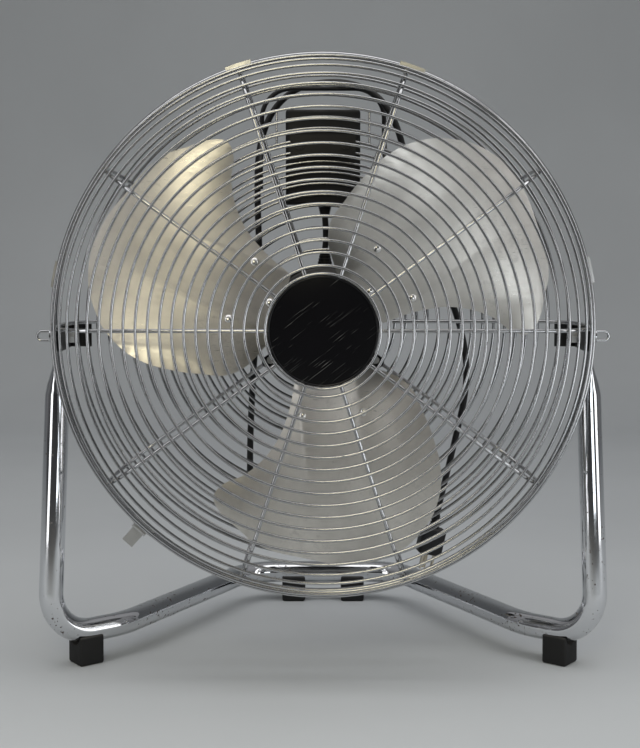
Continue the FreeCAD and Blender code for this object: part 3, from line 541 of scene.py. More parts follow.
class Effects:
    """Node groups that several finishes share, each built once."""

    @staticmethod
    def group(name: str, inputs: Sequence[str], outputs: Sequence[str]) -> tuple[Nodes, Node, Node]:
        """Start a group.

        Args:
            name: Name of the group.
            inputs: Names of its value inputs.
            outputs: Names of its value outputs.

        Returns:
            Its nodes, its input node and its output node.
        """
        tree = bpy.data.node_groups.new(name, "ShaderNodeTree")
        for way, entries in (("INPUT", inputs), ("OUTPUT", outputs)):
            for entry in entries:
                tree.interface.new_socket(name=entry, in_out=way, socket_type="NodeSocketFloat")
        nodes = Nodes(tree)
        return nodes, nodes.add("NodeGroupInput"), nodes.add("NodeGroupOutput")

    @staticmethod
    @cache
    def pitting() -> Tree:
        """Small pits and a soft haze on plated metal.

        Returns:
            The group.
        """
        nodes, start, end = Effects.group("plating_wear", ("Scale", "Density"), ("Pits", "Haze"))
        coords = nodes.coords()
        fine = nodes.noise(coords, start.outputs["Scale"], detail=2.0)
        patch = nodes.ranged(nodes.noise(coords, scale=14.0, detail=3.0), 0.42, 0.68)
        spread = nodes.sum("MULTIPLY", patch, start.outputs["Density"])
        level = nodes.sum("ADD", fine, nodes.sum("MULTIPLY", spread, 0.12))
        nodes.feed(end.inputs["Pits"], nodes.ranged(level, 0.735, 0.775))
        cloud = nodes.noise(coords, scale=55.0, detail=4.0, rough=0.6)
        nodes.feed(end.inputs["Haze"], nodes.ranged(cloud, 0.35, 0.75))
        return nodes.tree

    @staticmethod
    @cache
    def dust() -> Tree:
        """Dust that settles on what faces up, broken by noise.

        Returns:
            The group.
        """
        nodes, start, end = Effects.group("settled_dust", ("Amount",), ("Dust",))
        normal = nodes.add("ShaderNodeNewGeometry").outputs["Normal"]
        up = nodes.ranged(nodes.axis(normal, "Z"), 0.1, 1.0)
        cloud = nodes.noise(nodes.coords(), scale=90.0, detail=5.0, rough=0.65)
        broken = nodes.sum("MULTIPLY", up, nodes.ranged(cloud, 0.3, 0.7, 0.25, 1.0))
        nodes.feed(end.inputs["Dust"], nodes.sum("MULTIPLY", broken, start.outputs["Amount"]))
        return nodes.tree

    @staticmethod
    @cache
    def grain() -> Tree:
        """Fine moulded or sprayed grain, with a broad mottle.

        Returns:
            The group.
        """
        nodes, start, end = Effects.group("surface_grain", ("Scale",), ("Grain", "Mottle"))
        coords = nodes.coords()
        nodes.feed(end.inputs["Grain"], nodes.noise(coords, start.outputs["Scale"], detail=3.0))
        nodes.feed(end.inputs["Mottle"], nodes.noise(coords, scale=22.0, detail=4.0, rough=0.6))
        return nodes.tree


@dataclass(frozen=True)
class Finish:
    """A finish with a colour, a gloss and a metallic share."""

    name: str
    slot: str
    colour: Point
    roughness: float
    metallic: float = 0.0
    spread: float = 0.1

    sheen: ClassVar[float] = 0.28
    grain_scale: ClassVar[float] = 900.0
    grain_strength: ClassVar[float] = 0.35
    relief: ClassVar[float] = 0.0003
    mottle: ClassVar[Pair] = (0.75, 1.35)
    dust_share: ClassVar[float] = 0.25
    dust_colour: ClassVar[Point] = (0.32, 0.30, 0.28)

    @cache
    def material(self) -> bpy.types.Material:
        """The finish's material, built once.

        Returns:
            The material.
        """
        material = bpy.data.materials.new(self.name)
        material.use_nodes = True
        nodes = Nodes(material.node_tree)
        inputs = material.node_tree.nodes["Principled BSDF"].inputs
        plain = {
            "Metallic": self.metallic, "Roughness": self.roughness, "Base Color": (*self.colour, 1.0),
            "Specular IOR Level": self.sheen,
        }
        for values in (plain, self.detail(nodes)):
            for key, value in values.items():
                nodes.feed(inputs[key], value)
        return material

    def effect(self, nodes: Nodes, tree: Tree, **values: float) -> Node:
        """Place a shared effect.

        Args:
            nodes: The material's nodes.
            tree: The effect's group.
            values: The effect's own values.

        Returns:
            The group node.
        """
        node = nodes.add("ShaderNodeGroup", node_tree=tree)
        for key, value in values.items():
            node.inputs[key].default_value = value
        return node

    def tone(self, factor: float) -> Point:
        """The finish's colour, lighter or darker."""
        return tuple(min(1.0, channel * factor) for channel in self.colour)

    def gloss(self, nodes: Nodes, pattern: Socket) -> Socket:
        """A roughness that follows a pattern, either side of the finish's own."""
        return nodes.ranged(pattern, 0.3, 0.7, self.roughness - self.spread, self.roughness + self.spread)

    def detail(self, nodes: Nodes) -> dict[str, Socket]:
        """Grain, mottle and a little dust.

        Args:
            nodes: The material's nodes.

        Returns:
            What goes into each input of the shader.
        """
        grain = self.effect(nodes, Effects.grain(), Scale=self.grain_scale)
        dust = self.effect(nodes, Effects.dust(), Amount=self.dust_share)
        dark, pale = (self.tone(factor) for factor in self.mottle)
        mottled = nodes.mix(grain.outputs["Mottle"], dark, pale)
        return {
            "Base Color": nodes.mix(dust.outputs["Dust"], mottled, self.dust_colour),
            "Roughness": self.gloss(nodes, grain.outputs["Mottle"]),
            "Normal": nodes.bump(grain.outputs["Grain"], self.grain_strength, self.relief),
        }


@dataclass(frozen=True)
class Plating(Finish):
    """Bright chrome, hazed in places, with small dark pits."""

    pit_scale: float = 420.0
    pit_density: float = 0.6

    pit_colour: ClassVar[Point] = (0.07, 0.05, 0.04)
    pit_roughness: ClassVar[float] = 0.45
    pit_metallic: ClassVar[float] = 0.25

    def detail(self, nodes: Nodes) -> dict[str, Socket]:
        """Pits that dull the metal, and haze that widens its reflections.

        Args:
            nodes: The material's nodes.

        Returns:
            What goes into each input of the shader.
        """
        wear = self.effect(nodes, Effects.pitting(), Scale=self.pit_scale, Density=self.pit_density)
        pits = wear.outputs["Pits"]
        hazed = nodes.ranged(wear.outputs["Haze"], 0.0, 1.0, self.roughness, self.roughness + self.spread)
        return {
            "Base Color": nodes.mix(pits, self.colour, self.pit_colour),
            "Roughness": nodes.sum("ADD", hazed, nodes.sum("MULTIPLY", pits, self.pit_roughness)),
            "Metallic": nodes.ranged(pits, 0.0, 1.0, self.metallic, self.pit_metallic),
        }


@dataclass(frozen=True)
class RolledSheet(Finish):
    """Satin aluminium sheet with rolling lines and a film of grime."""

    rolling: ClassVar[Point] = (1.0, 1.0, 22.0)
    line_strength: ClassVar[float] = 0.10
    clean_tone: ClassVar[float] = 1.06
    film_tone: ClassVar[float] = 0.70
    film_roughness: ClassVar[float] = 0.06

    def detail(self, nodes: Nodes) -> dict[str, Socket]:
        """Fine lines across the sheet, broad tarnish, and flecks of grime.

        Args:
            nodes: The material's nodes.

        Returns:
            What goes into each input of the shader.
        """
        coords = nodes.coords()
        lines = nodes.noise(nodes.stretch(coords, self.rolling), scale=70.0, detail=4.0, rough=0.6)
        tarnish = nodes.ranged(nodes.noise(coords, scale=9.0, detail=5.0, rough=0.6), 0.38, 0.70)
        specks = nodes.noise(coords, scale=120.0, detail=4.0, rough=0.7)
        film = nodes.sum("MAXIMUM", tarnish, nodes.ranged(specks, 0.50, 0.68, 0.0, 0.55))
        grime = nodes.sum("MULTIPLY", film, self.film_roughness)
        return {
            "Base Color": nodes.mix(film, self.tone(self.clean_tone), self.tone(self.film_tone)),
            "Roughness": nodes.sum("ADD", self.gloss(nodes, lines), grime),
            "Normal": nodes.bump(lines, self.line_strength, self.relief),
        }


@dataclass(frozen=True)
class GlossBlack(Finish):
    """Polished black with hairline scratches that catch the light."""

    hair_stretch: ClassVar[Point] = (1.4, 1.0, 60.0)
    hair_tilt: ClassVar[float] = 38.0
    hair_colour: ClassVar[Point] = (0.15, 0.15, 0.145)
    hair_roughness: ClassVar[float] = 0.3

    def detail(self, nodes: Nodes) -> dict[str, Socket]:
        """Hairlines in a few worn patches.

        Args:
            nodes: The material's nodes.

        Returns:
            What goes into each input of the shader.
        """
        coords = nodes.coords()
        slant = nodes.stretch(coords, self.hair_stretch, self.hair_tilt)
        hairs = nodes.ranged(nodes.noise(slant, scale=24.0, detail=1.0), 0.69, 0.75)
        cloud = nodes.ranged(nodes.noise(coords, scale=26.0, detail=2.0), 0.46, 0.62)
        worn = nodes.sum("MULTIPLY", hairs, cloud)
        dull = self.roughness + self.hair_roughness
        return {
            "Base Color": nodes.mix(worn, self.colour, self.hair_colour),
            "Roughness": nodes.ranged(worn, 0.0, 1.0, self.roughness, dull),
        }


CHROME_TUBE = Plating("tube_chrome", "chrome_wire", (0.70, 0.71, 0.73), 0.05, 1.0, 0.06, 300.0, 1.1)
CHROME_WIRE = Plating("wire_chrome", "chrome_wire", (0.50, 0.505, 0.515), 0.12, 1.0, 0.08, 620.0, 0.7)
BLADE_SHEET = RolledSheet("blade_aluminium", "blade_metal", (0.74, 0.715, 0.67), 0.33, 1.0, 0.08)
RIVET_METAL = Plating("rivet_aluminium", "blade_metal", (0.88, 0.87, 0.85), 0.16, 1.0, 0.08, 900.0, 0.2)
ZINC = Plating("zinc_plate", "zinc_steel", (0.56, 0.56, 0.55), 0.30, 1.0, 0.14, 700.0, 0.6)
BLACK_PAINT = Finish("black_enamel", "black_paint", (0.011, 0.011, 0.012), 0.42)
BLACK_MOULDED = Finish("black_moulding", "black_plastic", (0.011, 0.011, 0.012), 0.58)
RUBBER = Finish("foot_rubber_black", "foot_rubber", (0.014, 0.014, 0.014), 0.70)
CORD_JACKET = Finish("cord_jacket", "cord_rubber", (0.014, 0.014, 0.015), 0.48)
BADGE_BLACK = GlossBlack("badge_black", "badge_gloss", (0.006, 0.006, 0.007), 0.13)
BRASS = Plating("prong_brass_bright", "prong_brass", (0.52, 0.47, 0.38), 0.30, 1.0, 0.12, 800.0, 0.7)
IRON = Finish("core_lamination", "core_iron", (0.22, 0.21, 0.20), 0.55, 0.8)
COPPER = Finish("coil_enamel", "winding_copper", (0.50, 0.22, 0.10), 0.40, 0.6)
MARK_WHITE = Finish("index_white", "black_plastic", (0.72, 0.72, 0.70), 0.55)


class Assembly:
    """A sub-assembly that builds its pieces and hands them to their bodies."""

    def build(self) -> None:
        """Model and dress every piece."""
        raise NotImplementedError

    def coat(self, piece: Piece, finish: Finish) -> None:
        """Give a piece its material."""
        piece.data.materials.clear()
        piece.data.materials.append(finish.material())

    def dress(self, piece: Piece, finish: Finish, body: Body, *nodes: str) -> Piece:
        """Give a finished piece its material, its body and the nodes that it stands for.

        Args:
            piece: The piece.
            finish: Its finish.
            body: The body that it moves with.
            nodes: The nodes that it replaces.

        Returns:
            The same piece.
        """
        self.coat(piece, finish)
        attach(piece, body.value)
        if nodes:
            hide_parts(*nodes)
        LOG.info("%s rides on %s", piece.name, body.value)
        return piece


@dataclass
class WireCage(Assembly):
    """The two halves of the cage: rings, spokes and rim wires."""

    spoke_count: int = 10
    spoke_r: float = 0.002
    spoke_sides: int = 12
    bend_steps: int = 14
    ring_r: float = 0.0015
    ring_sides: int = 10
    ring_steps: int = 144
    rim_wire_r: float = 0.003
    rim_sides: int = 16
    rim_steps: int = 216
    ring_pitch: float = 0.01165
    first_ring: float = 0.0763
    ring_count: int = 13
    badge_rings: Pair = (0.0558, 0.0636)
    shoulder: float = 0.052
    shoulder_step: float = math.radians(12.02)
    front_shoulders: int = 6
    rear_shoulders: int = 4
    front_inner: float = 0.046
    rear_inner: float = 0.073
    face_y: float = -0.112
    back_y: float = 0.019
    rim_y: float = -0.044
    weld: float = 0.00002
    spoke_stop: float = 0.001

    @property
    def flat_r(self) -> float:
        """Radius at which the shoulder starts."""
        return self.first_ring + self.ring_pitch * (self.ring_count - 1)

    @property
    def lift(self) -> float:
        """Distance from a spoke's middle to a ring's."""
        return self.spoke_r + self.ring_r + self.weld

    def flat_y(self, half: Half) -> float:
        """Y of the flat spokes of one half."""
        return self.face_y if half is Half.FRONT else self.back_y

    def ring_places(self, half: Half) -> list[Pair]:
        """Radius and Y of every thin ring of one half.

        Args:
            half: The half of the cage.

        Returns:
            The places, from the middle outwards.
        """
        inner, shoulders = (), self.rear_shoulders
        if half is Half.FRONT:
            inner, shoulders = self.badge_rings, self.front_shoulders
        flat = self.flat_y(half)
        radii = [*inner, *(self.first_ring + k * self.ring_pitch for k in range(self.ring_count))]
        places = [(radius, flat + half.value * self.lift) for radius in radii]
        bend = self.shoulder + self.lift
        for k in range(1, shoulders + 1):
            turn = k * self.shoulder_step
            reach = flat - half.value * self.shoulder + half.value * bend * math.cos(turn)
            places.append((self.flat_r + bend * math.sin(turn), reach))
        return places

    def rings(self, half: Half, name: str) -> Piece:
        """All rings of one half, with its rim wire.

        Args:
            half: The half of the cage.
            name: Name of the piece.

        Returns:
            The piece.
        """
        piece = Bench.open(name)
        for radius, y in self.ring_places(half):
            Bench.hoop(self.ring_r, at(radius, y, 0.0), UP, self.ring_sides)
            Bench.turn(FAN_AXIS, BACK, FULL_TURN, self.ring_steps)
        rim = self.flat_r + self.shoulder + self.spoke_r + self.rim_wire_r + self.weld
        rim_y = self.rim_y + half.value * (self.rim_wire_r + self.weld)
        Bench.hoop(self.rim_wire_r, at(rim, rim_y, 0.0), UP, self.rim_sides)
        Bench.turn(FAN_AXIS, BACK, FULL_TURN, self.rim_steps)
        return Bench.close(piece, 60.0)

    def spokes(self, half: Half, name: str) -> Piece:
        """The bent spokes of one half.

        Args:
            half: The half of the cage.
            name: Name of the piece.

        Returns:
            The piece.
        """
        flat = self.flat_y(half)
        inner = self.front_inner if half is Half.FRONT else self.rear_inner
        wall = self.flat_r + self.shoulder
        end = self.rim_y + half.value * self.spoke_stop
        line = (at(inner, flat, 0.0), at(wall, flat, 0.0), at(wall, end, 0.0))
        piece = Bench.open(name)
        BentRod(line, (self.shoulder,), self.spoke_r, self.spoke_sides, self.bend_steps).draw()
        bpy.ops.mesh.select_all(action="SELECT")
        step = FULL_TURN / self.spoke_count
        for _ in range(self.spoke_count - 1):
            bpy.ops.mesh.duplicate()
            bpy.ops.transform.rotate(value=step, orient_axis="Y", center_override=FAN_AXIS)
        return Bench.close(piece, 50.0)

    def build(self) -> None:
        """Both halves."""
        for kind, make in (("rings", self.rings), ("spokes", self.spokes)):
            for half in Half:
                side = half.name.lower()
                piece = make(half, f"{side}_cage_{kind}")
                self.dress(piece, CHROME_WIRE, Body.HEAD, f"{side}_guard_{kind}")


@dataclass
class TubeStand(Assembly):
    """The bent tube with its pressed ends, and the rubber feet.

    Each stage of the press gives the share of the way up to the tab, and the thickness and the
    breadth there against the round tube's.
    """

    tube_r: float = 0.0127
    tube_sides: int = 32
    bend_steps: int = 14
    tab_x: float = 0.277666
    tab_half_width: float = 0.018
    tab_low: float = 0.325
    tab_top: float = 0.362
    press: tuple[Point, ...] = ((0.30, 0.80, 1.10), (0.62, 0.46, 1.28), (0.85, 0.26, 1.39), (1.0, 0.197, 1.417))
    crown_steps: int = 6
    crown_breadth: float = 0.12
    crown_thinning: float = 0.6
    neck: Point = (0.277666, -0.004886, 0.285)
    base_corner: Point = (0.283966, -0.025, 0.0338)
    elbow: Point = (0.214966, 0.027, 0.0338)
    rear_corner: Point = (0.092, 0.250, 0.0338)
    bends: Point = (0.044, 0.090, 0.060)
    foot_along: float = 0.042
    rear_foot_x: float = 0.036
    foot_size: Point = (0.028, 0.028, 0.031)
    foot_edge: float = 0.0026
    saddle_gap: float = 0.0001
    saddle_length: float = 0.08
    saddle_sides: int = 48
    recess_r: float = 0.0051
    recess_depth: float = 0.005
    recess_sides: int = 32

    def spot(self, point: Point, side: float = 1.0) -> Vector:
        """A point of the tube's line on one side, in the part's frame."""
        return Vector((side * point[0], PIVOT_Y + point[1], point[2]))

    def pressed_end(self, side: float) -> None:
        """Carry the open end of the tube up into its flat tab.

        Args:
            side: 1 on the right, -1 on the left.
        """
        start = self.spot(self.neck, side)
        top = Vector((side * self.tab_x, PIVOT_Y, self.tab_low))
        stages = [(start.lerp(top, share), thin, broad) for share, thin, broad in self.press]
        _, flat_thin, full = self.press[-1]
        crown = self.tab_top - self.tab_half_width
        for step in range(self.crown_steps + 1):
            angle = math.radians(90.0 * step / self.crown_steps)
            height = crown + self.tab_half_width * math.sin(angle)
            thinning = self.crown_thinning if step == self.crown_steps else 1.0
            there = Vector((side * self.tab_x, PIVOT_Y, height))
            stages.append((there, flat_thin * thinning, full * max(math.cos(angle), self.crown_breadth)))
        here, flat, wide = start, 1.0, 1.0
        for there, thin, broad in stages:
            Bench.run(there - here)
            bpy.ops.transform.resize(value=(thin / flat, broad / wide, 1.0), center_override=there)
            here, flat, wide = there, thin, broad

    def tube(self) -> Piece:
        """The whole bent tube, from one pressed end to the other.

        Returns:
            The tube.
        """
        right = [self.spot(point) for point in (self.neck, self.base_corner, self.elbow, self.rear_corner)]
        bends = self.bends + self.bends[::-1]
        piece = Bench.open("bent_tube_stand")
        BentRod(mirrored(right), bends, self.tube_r, self.tube_sides, self.bend_steps).draw()
        self.pressed_end(-1.0)
        bpy.ops.mesh.select_all(action="DESELECT")
        bpy.ops.mesh.select_non_manifold(
            extend=False, use_wire=False, use_multi_face=False, use_non_contiguous=False
        )
        self.keep_right_loop(piece)
        self.pressed_end(1.0)
        return Bench.close(piece, 50.0)

    def keep_right_loop(self, piece: Piece) -> None:
        """Keep only the open end on the right selected.

        Args:
            piece: The tube, in edit mode.
        """
        bpy.ops.object.mode_set(mode="OBJECT")
        for edge in piece.data.edges:
            edge.select = edge.select and all(piece.data.vertices[i].co.x > 0.0 for i in edge.vertices)
        for vertex in piece.data.vertices:
            vertex.select = vertex.select and vertex.co.x > 0.0
        bpy.ops.object.mode_set(mode="EDIT")

    def bore(self, foot: Piece, radius: float, length: float, height: float, turn: float, sides: int) -> None:
        """Cut a round hole in a foot.

        Args:
            foot: The foot.
            radius: Radius of the hole.
            length: Length of the cutter.
            height: Height of its middle.
            turn: Its turn about Y, in radians.
            sides: Its number of sides.
        """
        bpy.ops.object.select_all(action="DESELECT")
        bpy.ops.mesh.primitive_cylinder_add(
            vertices=sides, radius=radius, depth=length, location=(0.0, 0.0, height), rotation=(0.0, turn, 0.0)
        )
        Bench.cut(foot, "DIFFERENCE", bpy.context.active_object)

    def foot(self, name: str, place: Vector, heading: Vector) -> Piece:
        """One rubber foot with its saddle and recess.

        Args:
            name: Name of the piece.
            place: Middle of the tube over the foot.
            heading: Direction of the tube there.

        Returns:
            The piece.
        """
        wide, deep, high = self.foot_size
        low = Vector((-wide / 2.0, -deep / 2.0, 0.0))
        foot = Bench.block(name, low, Vector((wide / 2.0, deep / 2.0, high)), self.foot_edge)
        saddle_r = self.tube_r + self.saddle_gap
        self.bore(foot, saddle_r, self.saddle_length, place.z, math.pi / 2.0, self.saddle_sides)
        self.bore(foot, self.recess_r, 2.0 * self.recess_depth, 0.0, 0.0, self.recess_sides)
        turn = Matrix.Rotation(math.atan2(heading.y, heading.x), 4, "Z")
        foot.matrix_world = Matrix.Translation((place.x, place.y, 0.0)) @ turn
        return Bench.shade(Bench.settle(foot), 35.0)

    def build(self) -> None:
        """Tube and feet."""
        self.dress(self.tube(), CHROME_TUBE, Body.STAND, "stand_tube")
        corner = self.spot(self.base_corner)
        along = (self.spot(self.elbow) - corner).normalized()
        front = corner + along * self.foot_along
        rear = Vector((self.rear_foot_x, PIVOT_Y + self.rear_corner[1], corner.z))
        flip = Vector((-1.0, 1.0, 1.0))
        for node, place, heading in (("front_feet", front, along), ("rear_feet", rear, RIGHT)):
            right = self.foot(node.replace("feet", "foot_pads"), place, heading)
            left = self.foot(node + "_left", place * flip, heading * flip)
            self.dress(Bench.join(right, left), RUBBER, Body.STAND, node)


@dataclass
class BladeSet(Assembly):
    """Three broad blades of curved sheet, with their rivets.

    The outline is drawn for a blade whose arm lies along +X, in shares of the tip's radius.
    """

    tip_r: float = 0.2451
    curve_r: float = 0.420
    pitch: float = math.radians(16.0)
    sheet_y: float = -0.048
    wall: float = 0.0016
    sheet_middle: float = 0.145
    sheet_length: float = 0.25
    sheet_start: float = math.radians(-6.0)
    sheet_sweep: float = math.radians(44.0)
    sheet_steps: int = 72
    edge: float = 0.0005
    cutter_half: float = 0.15
    outline_steps: int = 10
    arm_wall: float = 0.0025
    sheet_gap: float = 0.00005
    rivet_r: float = 0.0024
    rivet_sides: int = 20
    rivets: tuple[Pair, ...] = ((0.059, 0.0), (0.090, 0.031), (0.090, -0.031))
    dome: tuple[Pair, ...] = (
        (0.0, -0.0022), (0.0018, -0.0020), (0.0034, -0.0013), (0.0044, -0.0004), (0.0045, -0.00005),
    )
    tail: tuple[Pair, ...] = ((0.0042, 0.0), (0.0040, 0.0009), (0.0026, 0.0016), (0.0, 0.0018))
    outline: tuple[Pair, ...] = (
        (0.165, 0.120), (0.255, 0.312), (0.385, 0.369), (0.505, 0.400), (0.612, 0.412),
        (0.742, 0.388), (0.860, 0.318), (0.967, 0.180), (1.000, 0.000), (0.965, -0.180),
        (0.893, -0.370), (0.815, -0.448), (0.734, -0.516), (0.672, -0.533), (0.628, -0.494),
        (0.590, -0.388), (0.486, -0.260), (0.354, -0.184), (0.208, -0.138),
    )

    def cutter(self) -> Piece:
        """The blade's outline, drawn as a smooth curve and extruded along Y.

        Returns:
            The cutter.
        """
        bpy.ops.object.select_all(action="DESELECT")
        bpy.ops.curve.primitive_bezier_curve_add()
        spline = bpy.context.active_object.data.splines[0]
        spline.bezier_points.add(len(self.outline) - len(spline.bezier_points))
        for knot, (along, across) in zip(spline.bezier_points, self.outline):
            knot.co = at(along * self.tip_r, self.sheet_y - self.cutter_half, across * self.tip_r)
            knot.handle_left_type = "AUTO"
            knot.handle_right_type = "AUTO"
        spline.resolution_u = self.outline_steps
        bpy.ops.object.convert(target="MESH")
        Bench.edit()
        bpy.ops.mesh.edge_face_add()
        Bench.run(BACK * (2.0 * self.cutter_half))
        return Bench.close(bpy.context.active_object)

    def sheet(self, name: str) -> Piece:
        """One blade whose arm lies along +X.

        Args:
            name: Name of the piece.

        Returns:
            The blade.
        """
        rise, run = self.curve_r * math.sin(self.pitch), self.curve_r * math.cos(self.pitch)
        centre = at(0.0, self.sheet_y - run, -rise)
        start = self.sheet_start
        middle = self.curve_r + self.wall / 2.0
        place = centre + Vector((self.sheet_middle, middle * math.cos(start), middle * math.sin(start)))
        bpy.ops.object.select_all(action="DESELECT")
        bpy.ops.mesh.primitive_plane_add(size=1.0, location=place, rotation=(start, 0.0, 0.0))
        blade = Bench.named(name)
        blade.scale = (self.sheet_length, self.wall, 1.0)
        Bench.settle(blade)
        Bench.edit()
        Bench.turn(centre, RIGHT, self.sheet_sweep, self.sheet_steps)
        Bench.close(blade)
        Bench.cut(blade, "INTERSECT", self.cutter())
        corner = math.radians(50.0)
        Bench.apply(blade, "BEVEL", width=self.edge, segments=2, limit_method="ANGLE", angle_limit=corner)
        return Bench.shade(blade, 30.0)

    def rivet(self, name: str, along: float, across: float) -> Piece:
        """A domed rivet square to the sheet.

        Args:
            name: Name of the piece.
            along: Distance along the arm.
            across: Distance across it.

        Returns:
            The rivet.
        """
        slope = math.asin(across / self.curve_r + math.sin(self.pitch))
        forward = self.curve_r * (math.cos(self.pitch) - math.cos(slope))
        front = at(along, self.sheet_y - forward, across)
        inward = Vector((0.0, math.cos(slope), math.sin(slope)))
        stack = self.wall + self.sheet_gap + self.arm_wall + self.sheet_gap
        shank = [(self.rivet_r, self.dome[-1][1]), (self.rivet_r, stack)]
        tail = [(radius, stack + beyond) for radius, beyond in self.tail]
        return Bench.lathe(name, [*self.dome, *shank, *tail], self.rivet_sides, front, inward, 50.0)

    def build(self) -> None:
        """Blades and rivets."""
        model = self.sheet("model_blade")
        rivets = []
        for node, angle in (("blade_left", 156.0), ("blade_right", 36.0), ("blade_lower", 276.0)):
            blade = model.copy()
            blade.data = model.data.copy()
            blade.name = node + "_sheet"
            bpy.context.scene.collection.objects.link(blade)
            self.dress(Bench.round(blade, angle), BLADE_SHEET, Body.ROTOR, node)
            for index, (along, across) in enumerate(self.rivets):
                rivets.append(Bench.round(self.rivet(f"rivet_{node}_{index}", along, across), angle))
        bpy.data.objects.remove(model)
        joined = Bench.join(*rivets)
        joined.name = "blade_rivet_domes"
        self.dress(joined, RIVET_METAL, Body.ROTOR, "blade_rivets")


@dataclass
class FrontBadge(Assembly):
    """The bare black plate at the middle of the front."""

    radius: float = 0.054
    back_y: float = -0.11402
    wall: float = 0.0016
    rim: float = 0.0024
    crown: float = 0.0020
    chamfer: float = 0.0004
    dome_steps: int = 16
    sides: int = 96

    def build(self) -> None:
        """A shallow dome inside a rolled rim."""
        inner = self.radius - self.rim
        dome_r = (inner ** 2 + self.crown ** 2) / (2.0 * self.crown)
        profile = [(0.0, 0.0), (self.radius - self.chamfer, 0.0), (self.radius, self.chamfer)]
        profile += arc((self.radius - self.rim / 2.0, self.wall), self.rim / 2.0, 0.0, 180.0)
        for step in range(1, self.dome_steps + 1):
            r = inner * (1.0 - step / self.dome_steps)
            profile.append((r, self.wall + self.crown - (dome_r - math.sqrt(dome_r ** 2 - r ** 2))))
        plate = Bench.lathe("badge_face", profile, self.sides, at(0.0, self.back_y, 0.0), FRONT)
        self.dress(plate, BADGE_BLACK, Body.HEAD, "badge_plate")


@dataclass
class Motor(Assembly):
    """The two shells of the motor, the front one with ears under four of the back spokes.

    Each boss gives radius and drop from the shell's end of its corners, from the middle outwards.
    """

    front_r: float = 0.057
    rear_r: float = 0.0555
    wall: float = 0.002
    end_wall: float = 0.004
    seam_y: float = 0.01468
    front_length: float = 0.034
    rear_length: float = 0.057
    edge: float = 0.009
    front_boss: tuple[Pair, ...] = ((0.00695, 0.0), (0.0165, 0.0), (0.0180, 0.0012), (0.0380, 0.0012))
    rear_boss: tuple[Pair, ...] = ((0.0, 0.0), (0.0150, 0.0), (0.0162, 0.0010), (0.0210, 0.0012))
    front_drop: float = 0.0006
    rear_drop: float = 0.0008
    flange_r: float = 0.060
    flange_wall: float = 0.003
    flange_edge: float = 0.0006
    flange_fillet: float = 0.001
    grooves: Point = (0.040, 0.034, 0.028)
    groove_depth: float = 0.0011
    groove_rise: float = 0.0016
    groove_half: float = 0.0006
    ear_reach: float = 0.078
    ear_width: float = 0.012
    ear_roundness: float = 0.98
    ear_steps: int = 8
    ear_angles: tuple[float, ...] = (36.0, 144.0, 216.0, 324.0)
    sides: int = 96

    def ear(self, name: str, angle: float) -> Piece:
        """One flat ear with a rounded end.

        Args:
            name: Name of the piece.
            angle: Its place round the fan axis, in degrees.

        Returns:
            The ear.
        """
        half = self.ear_width / 2.0
        high = at(self.ear_reach, self.seam_y, half)
        ear = Bench.cube(name, at(self.rear_r, self.seam_y - self.flange_wall, -half), high)
        near = 0.001
        for edge in ear.data.edges:
            first, second = (ear.data.vertices[i].co for i in edge.vertices)
            edge.select = min(first.x, second.x) > high.x - near and abs(first.z - second.z) < near
        for face in ear.data.polygons:
            face.select = False
        bpy.ops.object.mode_set(mode="EDIT")
        bpy.ops.mesh.select_mode(type="EDGE")
        bpy.ops.mesh.bevel(offset=half * self.ear_roundness, segments=self.ear_steps, affect="EDGES")
        bpy.ops.mesh.select_mode(type="VERT")
        return Bench.round(Bench.close(ear, 35.0), angle)

    def end(self, boss: Sequence[Pair], radius: float, length: float, drop: float) -> list[Pair]:
        """The closed end of a shell: its boss, then its rounded edge."""
        middle = (radius - self.edge, length - self.edge - drop)
        return [(r, length - down) for r, down in boss] + arc(middle, self.edge, 90.0, 0.0)

    def inside(self, boss: Sequence[Pair], length: float) -> list[Pair]:
        """The hollow of a shell, from its mouth to the hole or the middle of its end."""
        inner, floor = self.rear_r - self.wall, length - self.end_wall
        return [(inner, 0.0), (inner, floor), (boss[0][0], floor)]

    def front_cup(self) -> Piece:
        """The front shell with its flange and ears.

        Returns:
            The shell.
        """
        wall, lip = self.flange_wall, self.flange_edge
        profile = self.end(self.front_boss, self.front_r, self.front_length, self.front_drop)
        profile += [(self.front_r, wall + self.flange_fillet), (self.front_r + self.flange_fillet, wall)]
        profile += [(self.flange_r - lip, wall), (self.flange_r, wall - lip), (self.flange_r, 0.0)]
        profile += self.inside(self.front_boss, self.front_length) + profile[:1]
        cup = Bench.lathe("motor_front_cup", profile, self.sides, at(0.0, self.seam_y, 0.0), FRONT)
        ears = [self.ear(f"motor_ear_{index}", angle) for index, angle in enumerate(self.ear_angles)]
        return Bench.join(cup, *ears)

    def rear_cup(self) -> Piece:
        """The rear shell, with a bearing seat and three cooling grooves.

        Returns:
            The shell.
        """
        outer, floor = self.rear_r, self.rear_r - self.groove_depth
        profile = self.end(self.rear_boss, outer, self.rear_length, self.rear_drop)
        for place in self.grooves:
            profile += [(outer, place + self.groove_rise), (floor, place + self.groove_half)]
            profile.append((outer, place - self.groove_half))
        profile += [(outer, 0.0), *self.inside(self.rear_boss, self.rear_length)]
        return Bench.lathe("motor_rear_cup", profile, self.sides, at(0.0, self.seam_y, 0.0), BACK)

    def build(self) -> None:
        """Both shells."""
        self.dress(self.front_cup(), BLACK_PAINT, Body.HEAD, "motor_front_shell")
        self.dress(self.rear_cup(), BLACK_PAINT, Body.HEAD, "motor_rear_shell")


